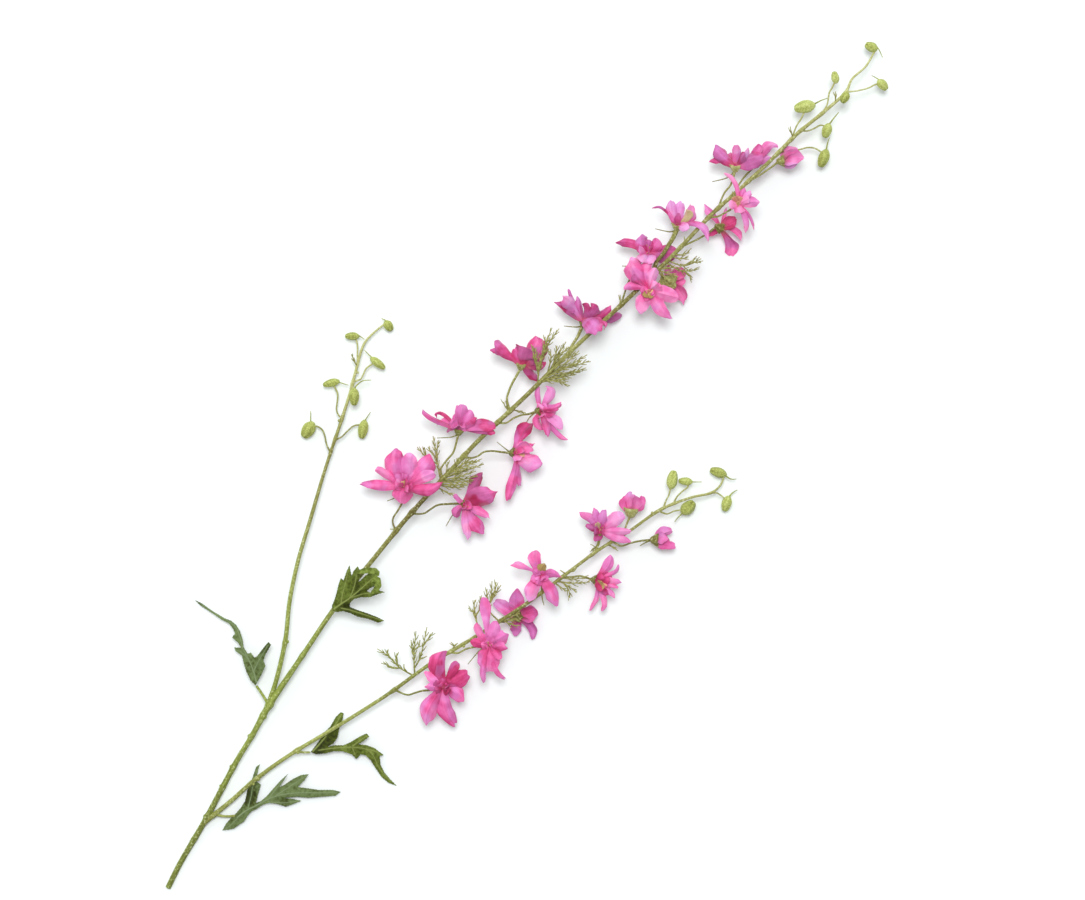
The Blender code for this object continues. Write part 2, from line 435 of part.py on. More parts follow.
def turned_form(name, base, axis, profile, sides):
    """Closed round form along an axis, from (distance, radius) pairs; a radius of 0 is a point."""
    bm = bmesh.new()
    axis = axis.normalized()
    side = axis.cross(Vector((0.2, 0.3, 1))).normalized()
    up = axis.cross(side)
    rings = []
    for distance, radius in profile:
        centre = base + axis * distance
        if radius == 0:
            rings.append([bm.verts.new(centre)])
            continue
        angles = [count * 2 * math.pi / sides for count in range(sides)]
        rings.append([bm.verts.new(centre + (side * math.cos(angle) + up * math.sin(angle)) * radius)
                      for angle in angles])
    skin_rings(bm, rings)
    return finish(name, bm)


def blend(values, share):
    """Point of a cubic curve with four control values."""
    rest = 1 - share
    weights = (rest ** 3, 3 * rest ** 2 * share, 3 * rest * share ** 2, share ** 3)
    return sum((value * weight for value, weight in zip(values, weights)), values[0] * 0)


def petal_form(seat, facing, tip, width, order):
    """Control points of a petal's middle line, its side direction and its true width."""
    reach = tip - seat
    length = reach.length
    outward = reach - facing * reach.dot(facing)
    if outward.length < 0.12 * length:
        outward = facing.cross(Vector((0, 0, 1))) + Vector((0, 0, 0.1))
    outward.normalize()
    out_tip = reach.dot(outward)
    fore_tip = reach.dot(facing)
    controls = [seat + facing * (ROOT_DEPTH + order * ROOT_STEP),
                seat + outward * 0.20 * length + facing * 0.16 * length,
                seat + outward * 0.62 * out_tip + facing * (0.62 * fore_tip + 0.14 * length),
                tip]
    side = facing.cross(outward).normalized()
    seen = max(side.xy.length, 0.6)
    return controls, side, width * STEP / seen


def petal(name, seat, facing, tip, width, order):
    """Thin petal: rows across its middle line, split into triangles alike on both faces."""
    controls, side, true_width = petal_form(seat, facing, tip, width, order)
    wide = true_width > WIDE_PETAL
    bm = bmesh.new()
    rows = []
    for share, spread in ((0.0, 0.14), (0.42, 0.68), (0.76, 1.0), (1.0, 0.0)):
        centre = blend(controls, share)
        ahead = blend(controls, min(share + 0.05, 1.0)) - blend(controls, max(share - 0.05, 0.0))
        normal = side.cross(ahead).normalized()
        if normal.dot(facing) < 0:
            normal = -normal
        offsets = (-0.5, 0.0, 0.5) if wide else (-0.5, 0.5)
        if spread == 0.0:
            offsets = (0.0,)
        row = []
        for offset in offsets:
            cup = normal * true_width * spread * 0.16 * (1 if offset else -1) * (1 if wide else 0)
            middle = centre + side * offset * true_width * spread + cup
            front = middle + normal * PETAL_THICK / 2
            back = middle - normal * PETAL_THICK / 2
            lower, upper = (front, back) if front.z < back.z else (back, front)
            lower.z = max(lower.z, 0.0)
            upper.z = max(upper.z, 0.9 * PETAL_THICK)
            row.append((bm.verts.new(front), bm.verts.new(back)))
        rows.append(row)
    for near, far in zip(rows, rows[1:]):
        for column in range(len(near) - 1):
            for face in (0, 1):
                first, second = near[column][face], near[column + 1][face]
                if len(far) == 1:
                    bm.faces.new((first, second, far[0][face]))
                    continue
                third, fourth = far[column + 1][face], far[column][face]
                bm.faces.new((first, second, third))
                bm.faces.new((first, third, fourth))
        for edge in (0, -1):
            wall_in(bm, near[edge], far[edge])
    for column in range(len(rows[0]) - 1):
        wall_in(bm, rows[0][column], rows[0][column + 1])
    return finish(name, bm)


def wall_in(bm, first, second):
    """Two triangles that close a thin edge between a front and a back."""
    bm.faces.new((first[0], first[1], second[1]))
    bm.faces.new((first[0], second[1], second[0]))


def fuse(name, pieces):
    """One solid from pieces whose roots are sunk in each other."""
    group = bpy.data.collections.new(name + "_pieces")
    bpy.context.scene.collection.children.link(group)
    first = pieces[0]
    for piece in pieces[1:]:
        bpy.context.scene.collection.objects.unlink(piece)
        group.objects.link(piece)
    union = first.modifiers.new("union", "BOOLEAN")
    union.operation = "UNION"
    union.solver = "MANIFOLD"
    union.operand_type = "COLLECTION"
    union.collection = group
    settle(first)
    for piece in pieces[1:]:
        bpy.data.objects.remove(piece)
    bpy.data.collections.remove(group)
    keep_outer_body(first.data)
    first.name = name
    first.data.name = name
    return first


def keep_outer_body(mesh):
    """Only the largest closed body of a mesh: sealed hollows are filled, loose scraps dropped."""
    bm = bmesh.new()
    bm.from_mesh(mesh)
    bm.faces.ensure_lookup_table()
    unseen = set(bm.faces)
    bodies = []
    while unseen:
        body = {unseen.pop()}
        front = list(body)
        while front:
            for edge in front.pop().edges:
                for face in edge.link_faces:
                    if face in unseen:
                        unseen.remove(face)
                        body.add(face)
                        front.append(face)
        bodies.append(body)
    outer = max(bodies, key=len)
    spare = [face for body in bodies if body is not outer for face in body]
    bmesh.ops.delete(bm, geom=spare, context="FACES")
    bm.to_mesh(mesh)
    bm.free()


def settle(found):
    """Modifiers of an object made part of its mesh."""
    bpy.context.view_layer.update()
    evaluated = found.evaluated_get(bpy.context.evaluated_depsgraph_get())
    mesh = bpy.data.meshes.new_from_object(evaluated)
    found.modifiers.clear()
    found.data = mesh


def cut_by(found, cutter):
    """Object with its neighbour's form, grown by the gap, taken out of it."""
    difference = found.modifiers.new("seat", "BOOLEAN")
    difference.operation = "DIFFERENCE"
    difference.solver = "MANIFOLD"
    difference.object = cutter
    settle(found)
    bpy.data.objects.remove(cutter)


def coat(found, look):
    """Material of a piece."""
    colour, roughness = look
    material = bpy.data.materials.new(found.name)
    material.use_nodes = True
    shader = material.node_tree.nodes["Principled BSDF"]
    shader.inputs["Base Color"].default_value = (*colour, 1)
    shader.inputs["Roughness"].default_value = roughness
    shader.inputs["Metallic"].default_value = 0.0
    found.data.materials.clear()
    found.data.materials.append(material)
    found.data.shade_smooth()
    found.data.set_sharp_from_angle(angle=math.radians(35))


def centre_line(stem):
    """Middle points of a stem."""
    return [place(*entry[:3]) for entry in stem.route]


def facing_of(bloom):
    return turned(*bloom.facing).normalized()


def pedicel(route, start_lines, end, radius=PEDICEL_RADIUS):
    """Thin stalk from a stem's middle to a bloom's calyx or a bud's base."""
    start = nearest_on(start_lines, place(*route[0]))
    points = with_heights(route[1:], start, end)
    return tube("stalk", points, [radius] * len(points), STALK_SIDES)


def spur(start, route, drop):
    """Thin spur behind a calyx or a bud."""
    points = [start]
    for across, down, *height in route:
        points.append(place(across, down, height[0] if height else points[-1].z / MM + drop))
    radii = [SPUR_RADIUS * (1 - 0.4 * count / (len(points) - 1)) for count in range(len(points))]
    return tube("spur", points, radii, 3)


def calyx_pieces(bloom, stem_line):
    """Pedicel, calyx cup and spur that carry one bloom."""
    seat = place(*bloom.seat)
    facing = facing_of(bloom)
    back = seat - facing * (GAP + CALYX_LENGTH)
    cup = turned_form("calyx", back, facing, [(0.0, 0.5 * CALYX_RADIUS), (CALYX_LENGTH, CALYX_RADIUS)], 5)
    pieces = [cup, pedicel(bloom.pedicel, [stem_line], seat - facing * (GAP + 0.55 * CALYX_LENGTH))]
    if bloom.spur:
        pieces.append(spur(back + facing * 0.4 * CALYX_LENGTH, bloom.spur, 0.5))
    return pieces


def bud_pieces(bud, stem_line):
    """Bud with its pedicel and spur."""
    base = place(*bud.base, bud.height)
    tip = place(*bud.tip, bud.height)
    axis = tip - base
    length = axis.length
    radius = bud.width * STEP / 2
    form = turned_form("bud", base, axis, [
        (-0.08 * length, 0.3 * radius), (0.36 * length, radius), (0.74 * length, 0.78 * radius),
        (1.04 * length, 0.0)], 5)
    pieces = [form]
    if bud.pedicel:
        pieces.append(pedicel(bud.pedicel, [stem_line], base + axis * 0.15, 0.85 * PEDICEL_RADIUS))
    if bud.spur:
        pieces.append(spur(base + axis * 0.1, bud.spur, 0.3))
    return pieces


def thread_pieces(frond, stem_line):
    """Threads of a forking thread leaf, each rooted in the stem or in an earlier thread."""
    grown = [stem_line]
    pieces = []
    for thread in frond.threads:
        points = [place(*entry) for entry in thread]
        root = nearest_on(grown, points[0])
        if (root - points[0]).length < 6 * MM:
            points[0] = root
        count = len(points) - 1
        radii = [THREAD_RADIUS + (THREAD_TIP_RADIUS - THREAD_RADIUS) * index / count
                 for index in range(count + 1)]
        pieces.append(tube("thread", points, radii, 3))
        grown.append(points)
    return pieces


def leafy_stem(stem):
    """Stem with all that grows on it, fused."""
    line = centre_line(stem)
    pieces = [tube(stem.name, line, [entry[3] * MM for entry in stem.route], STEM_SIDES)]
    for bloom in BLOOMS:
        if bloom.stem == stem.name:
            pieces += calyx_pieces(bloom, line)
    for bud in BUDS:
        if bud.stem == stem.name:
            pieces += bud_pieces(bud, line)
    for frond in FRONDS:
        if frond.stem == stem.name:
            pieces += thread_pieces(frond, line)
    for stalk in PETIOLES:
        if stalk.stem == stem.name:
            points = [place(*entry) for entry in stalk.route]
            points[0] = nearest_on([line], points[0])
            pieces.append(tube("petiole", points, [stalk.radius * MM] * len(points), 5))
    return fuse(stem.name, pieces)


def seat_shoot(shoot):
    """Foot of a side shoot cut to sit against the main stem."""
    line = centre_line(MAIN_STEM)
    root = place(*shoot.route[0][:3])
    near = min(range(len(line)), key=lambda index: (line[index] - root).length)
    low, high = max(near - 1, 0), near + 3
    radii = [entry[3] * MM + GAP for entry in MAIN_STEM.route[low:high]]
    return tube("fork", line[low:high], radii, STEM_SIDES)


def bloom_piece(bloom, chance):
    """Eye, petals and small inner petals of one bloom, fused."""
    seat = place(*bloom.seat)
    facing = facing_of(bloom)
    pieces = [turned_form("eye", seat, facing, [
        (0.0, 0.60 * EYE_RADIUS), (0.5 * EYE_LENGTH, EYE_RADIUS), (EYE_LENGTH, 0.0)], 5)]
    tips = []
    for order, (across, down, rise, width) in enumerate(bloom.petals):
        tip = place(across, down, bloom.seat[2] + rise)
        tips.append(tip)
        pieces.append(petal("petal", seat, facing, tip, width, order))
    reach = sum((tip - seat).length for tip in tips) / len(tips)
    inner = 2 if facing.z > 0.85 else 0
    start = chance.uniform(0, 2 * math.pi)
    first = facing.cross(Vector((0.3, 0.2, 1))).normalized()
    second = facing.cross(first)
    for count in range(inner):
        angle = start + count * 2 * math.pi / 3 + chance.uniform(-0.3, 0.3)
        across = first * math.cos(angle) + second * math.sin(angle)
        tip = seat + facing * 0.40 * reach + across * 0.26 * reach
        pieces.append(petal("inner", seat, facing, tip, INNER_WIDTH, len(tips) + count))
    return fuse(bloom.name, pieces)


def leaf_piece(leaf):
    """Lobed blade over its ribs, drooping away from them, with any tip that curls over."""
    outline = [place(*entry).xy for entry in leaf.outline]
    ribs = [[place(*entry) for entry in rib] for rib in leaf.ribs]
    inner = [point.xy for rib in ribs for point in rib[:-1]]
    edges = [(index, (index + 1) % len(outline)) for index in range(len(outline))]
    flat, _, triangles, *_ = delaunay_2d_cdt(outline + inner, edges, [], 1, 1e-6)
    bm = bmesh.new()
    pairs = []
    for point in flat:
        there = nearest_on(ribs, Vector((*point, 0)))
        height = max(there.z - 0.12 * (there.xy - point).length, LEAF_THICK / 2)
        pairs.append([bm.verts.new((*point, height + half * LEAF_THICK / 2)) for half in (1, -1)])
    borders = {}
    for triangle in triangles:
        for face in (0, 1):
            bm.faces.new([pairs[corner][face] for corner in triangle])
        for first, second in zip(triangle, triangle[1:] + triangle[:1]):
            key = frozenset((first, second))
            borders[key] = None if key in borders else (first, second)
    for border in filter(None, borders.values()):
        wall_in(bm, pairs[border[0]], pairs[border[1]])
    blade = finish(leaf.name, bm)
    if not leaf.flaps:
        return blade
    return fuse(leaf.name, [blade] + [curled_tip(flap) for flap in leaf.flaps])


def curled_tip(route):
    """Thin strip that carries on from a leaf's blade and curls over it."""
    bm = bmesh.new()
    points = [place(*entry) for entry in route]
    rows = []
    for index, point in enumerate(points):
        ahead = points[min(index + 1, len(points) - 1)] - points[max(index - 1, 0)]
        side = ahead.cross(Vector((0, 0, 1))).normalized()
        normal = side.cross(ahead).normalized()
        half = CURL_WIDTH / 2 * (0.45 if index == len(points) - 1 else 1)
        rows.append([[bm.verts.new(point + side * half * across + normal * face * LEAF_THICK / 2)
                      for face in (1, -1)] for across in (-1, 1)])
    for near, far in zip(rows, rows[1:]):
        for face in (0, 1):
            bm.faces.new((near[0][face], near[1][face], far[1][face]))
            bm.faces.new((near[0][face], far[1][face], far[0][face]))
        for edge in (0, 1):
            wall_in(bm, near[edge], far[edge])
    for end in (rows[0], rows[-1]):
        wall_in(bm, end[0], end[1])
    return finish("curl", bm)


def build():
    for found in list(bpy.data.objects):
        bpy.data.objects.remove(found)
    chance = random.Random(SEED)
    for stem in STEMS:
        solid = leafy_stem(stem)
        if stem is not MAIN_STEM:
            cut_by(solid, seat_shoot(stem))
        coat(solid, STEM_LOOK)
    for bloom in BLOOMS:
        look = PETAL_LOOK if bloom.facing[2] > 0 else SHADED_PETAL_LOOK
        coat(bloom_piece(bloom, chance), look)
    for leaf in LEAVES:
        coat(leaf_piece(leaf), LEAF_LOOK)


build()
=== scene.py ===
# %% [markdown]
# # A cut delphinium spray on a white table
#
# The real thing is one cut main stem with a spike of pink blooms, and two side shoots that leave it
# low down: one carries only buds, the other blooms and buds. Thin forked leaves sit high on the
# stems, and broad lobed leaves sit low. Nothing on it is straight or repeated exactly.
#
# The plain solids of the spray are loaded first and never changed. Every piece below keeps the place
# and form of its solid and gives it what a solid can't carry: thin curved petals, veins, hairs,
# stamens and colour. All lengths are metres, and the table is at height zero.

# %% Load the solids
import math
import random
from collections import namedtuple

import bmesh
import bpy
import numpy as np
from mathutils import Matrix, Vector, noise
from mathutils.geometry import delaunay_2d_cdt


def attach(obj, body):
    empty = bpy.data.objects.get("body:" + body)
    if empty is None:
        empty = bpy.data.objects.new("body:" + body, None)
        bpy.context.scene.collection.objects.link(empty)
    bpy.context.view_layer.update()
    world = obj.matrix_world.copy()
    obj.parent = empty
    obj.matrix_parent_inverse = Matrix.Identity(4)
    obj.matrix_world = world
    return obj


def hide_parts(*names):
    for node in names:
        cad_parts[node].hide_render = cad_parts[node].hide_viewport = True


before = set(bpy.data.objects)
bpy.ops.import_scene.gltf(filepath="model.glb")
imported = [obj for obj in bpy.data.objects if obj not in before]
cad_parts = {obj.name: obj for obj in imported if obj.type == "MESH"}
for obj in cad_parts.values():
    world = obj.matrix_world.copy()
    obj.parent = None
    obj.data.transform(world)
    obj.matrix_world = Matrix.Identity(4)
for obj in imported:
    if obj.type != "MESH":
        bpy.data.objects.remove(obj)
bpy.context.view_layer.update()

# %% [markdown]
# ## One plan for the whole spray
#
# A plant like this is easiest to place on a plan, as it is seen from straight above. Places in the
# lists below are steps across and down that plan, with a height over the table in millimetres. Two
# functions turn them into metres: `turned` turns a direction of the plan into the model's frame,
# where the main stem runs along +Y, and `place` does the same for a point. One scale, taken from
# the length of the main stem, rules every size.

# %% The plan's scale and turn
MM = 0.001
STEM_LENGTH = 0.880
PLAN_HEEL = Vector((166.5, 889.4))
PLAN_TIP = Vector((873.5, 47.0))
HEEL_FLAT = Vector((173.25, 875.95))
PLAN_SIZE = Vector((1085.0, 900.0))
STEP = STEM_LENGTH / (PLAN_TIP - PLAN_HEEL).length
TURN = math.pi / 2 - math.atan2(PLAN_HEEL.y - PLAN_TIP.y, PLAN_TIP.x - PLAN_HEEL.x)


def turned(right, up, towards):
    """Direction on the turned plan: right and up the plan, and towards the eye."""
    cosine = math.cos(TURN)
    sine = math.sin(TURN)
    return Vector((right * cosine - up * sine, right * sine + up * cosine, towards))


def place(across, down, height=0.0):
    """Point in metres for a place on the plan."""
    return turned((across - HEEL_FLAT.x) * STEP, (HEEL_FLAT.y - down) * STEP, height * MM)


print("one step:", round(STEP / MM, 4), "mm; turn of the plan:", round(math.degrees(TURN), 1), "degrees")

# %% [markdown]
# ## The stems, as routes
#
# Each stem is a list of points that it passes through: place, height, radius in millimetres and a
# tone. The tone says how light the green is there, from 0 for brown olive to 1 for lime. The stems
# are lime at the young tips and darker near the heel, and the dips in their tone where blooms hang
# over them are painted shade.

# %% Routes of the three stems
HEEL_HEIGHT = 2.252
Stem = namedtuple("Stem", "name route nubs")
MAIN_STEM = Stem("main_stem", [
    (166.5, 889.4, HEEL_HEIGHT, 2.6, 0.36), (180, 862.5, HEEL_HEIGHT, 2.6, 0.33),
    (206, 818, 4.2, 2.7, 0.36), (233, 767, 8, 2.6, 0.42), (251, 737, 10, 2.5, 0.46),
    (269, 705, 12.5, 3.0, 0.51), (302, 656, 15.5, 2.4, 0.50), (334, 609, 18.5, 2.3, 0.44),
    (371, 562, 21.5, 2.2, 0.40), (401, 525, 23, 2.2, 0.27), (423, 500, 24, 2.2, 0.15),
    (451, 470, 25, 2.1, 0.44), (479, 440, 26, 2.1, 0.37), (510, 411, 26.5, 2.1, 0.47),
    (534, 388, 27, 2.1, 0.39), (569, 353, 27, 2.0, 0.56), (607, 318, 26.5, 2.0, 0.42),
    (634, 293, 26, 2.0, 0.26), (676, 252, 25.5, 1.9, 0.50), (710, 216, 25.5, 1.9, 0.44),
    (740, 189, 25.5, 1.8, 0.54), (770, 161, 25, 1.8, 0.56), (797, 134, 24.5, 1.7, 0.58),
    (825, 111, 24, 1.6, 0.66), (845, 93, 23, 1.4, 0.84), (852, 79, 21.5, 1.1, 0.84),
    (866, 66, 19, 1.0, 0.78), (876, 49, 15.2, 0.9, 0.80)],
    [(267, 719, 1.4), (248, 736, 1.3), (230, 767, 1.2), (218, 786, 1.0), (302, 656, 1.5),
     (268, 704, 1.6), (412, 512, 1.3), (465, 456, 1.2), (192, 841, 0.9), (205, 818, 1.6)])
BUD_SHOOT = Stem("bud_shoot", [
    (266, 708, 12, 2.0, 0.50), (276, 680, 13.5, 2.2, 0.51), (285, 640, 14, 2.1, 0.52),
    (289.5, 600, 14, 2.0, 0.53), (298, 560, 13.5, 1.9, 0.54), (311, 516, 12.5, 1.8, 0.48),
    (322, 478, 11.5, 1.6, 0.46), (331, 450, 10.5, 1.5, 0.42), (340, 423, 9.5, 1.5, 0.56),
    (349, 395, 9, 1.4, 0.77), (355, 372, 8.5, 1.3, 0.76), (361, 350, 8, 1.2, 0.78),
    (366, 340, 7.5, 1.1, 0.80), (376, 330, 7, 0.9, 0.78), (385, 323, 6, 0.9, 0.78)],
    [(287, 642, 1.5), (340, 421, 1.1), (356, 372, 0.9)])
FLOWER_SHOOT = Stem("flower_shoot", [
    (202.5, 826, 4.2, 1.8, 0.26), (208, 820, 4.8, 2.2, 0.42), (230, 802, 6, 2.1, 0.52),
    (255, 780, 7.5, 2.0, 0.48), (290, 755, 10, 1.8, 0.59), (330, 731, 13, 1.8, 0.57),
    (370, 706, 15.5, 1.7, 0.53), (394, 690, 17, 1.7, 0.40), (430, 664, 19, 1.7, 0.50),
    (465, 643, 20.5, 1.7, 0.57), (500, 621, 22, 1.7, 0.34), (530, 601, 22.5, 1.7, 0.35),
    (562, 577, 22.5, 1.6, 0.50), (597, 551, 21, 1.5, 0.50), (628, 532, 19, 1.4, 0.44),
    (660, 510, 16.5, 1.3, 0.60), (690, 498, 14, 1.2, 0.66), (711, 493, 12, 1.1, 0.64),
    (721, 485, 10, 0.9, 0.62), (724, 477, 8, 0.9, 0.68)],
    [(257, 779, 1.4), (297, 752, 1.3), (394, 690, 1.3), (430, 664, 1.2), (252, 784, 1.0),
     (653, 514, 1.0), (463, 645, 1.1)])
STEMS = [MAIN_STEM, BUD_SHOOT, FLOWER_SHOOT]
print("points on the stems:", [len(stem.route) for stem in STEMS])

# %% [markdown]
# ## The blooms, petal by petal
#
# A bloom of this plant has broad outer petals around a tight heart, and every one in this spray has
# opened its own way, so each petal gets its own line: the place of its tip, the tip's rise above
# the bloom's seat, its width, its tone and its cut. The tone runs from 0, deep magenta, over 0.6,
# bright pink, to 1, pale lilac; two numbers are the tones of root and tip. Low tones are partly
# the petals' own deep colour and partly painted shade on petals that lie in shade. Below zero it
# is the cream of the small petals in the heart. The cut is one of five outlines that are found on
# the real bloom. A last pair is a place on the plan that the middle of a curved petal passes over.
# The pedicel and the spur are the thin stalk and the thin tail behind the bloom.

# %% Cuts of a petal
Cut = namedtuple("Cut", "root fullest ease narrow fall round curl")
ROUND = Cut(0.30, 0.60, 1.2, 0.10, 0.27, 2.5, 0.03)
POINTED = Cut(0.28, 0.50, 1.1, 0.70, 0.16, 1.3, -0.04)
SPOON = Cut(0.34, 0.80, 3.0, 0.06, 0.22, 2.5, -0.08)
STRAP = Cut(0.50, 0.60, 1.0, 0.20, 0.14, 2.4, -0.06)
CUPPED = Cut(0.44, 0.60, 1.1, 0.12, 0.25, 2.5, 0.06)
Petal = namedtuple("Petal", "across down rise width tone cut via", defaults=(ROUND, None))
Bloom = namedtuple("Bloom", "name stem seat facing pedicel spur petals heart")
print("cuts:", [round(cut.fullest, 2) for cut in (ROUND, POINTED, SPOON, STRAP, CUPPED)])

# %% [markdown]
# The heart of a bloom is a ruff of small petals, a tighter ruff inside it, a few cream petals that
# growers call the bee, and stamens. Its numbers say how many there are of each, and its tone. A
# last pair says how many steps across and down the plan it leans off the seat. Eleven blooms are
# seen from behind or so far from the side that no heart shows.

# %% Hearts
Heart = namedtuple("Heart", "outer inner cream stamens tone lean")
BALL_HEART = Heart(5, 4, 0, 0, 0.26, (0, -3))
NO_HEART = Heart(0, 0, 0, 0, 0.5, (0, 0))
print("small petals in a ball-shaped heart:", BALL_HEART.outer + BALL_HEART.inner + BALL_HEART.cream)

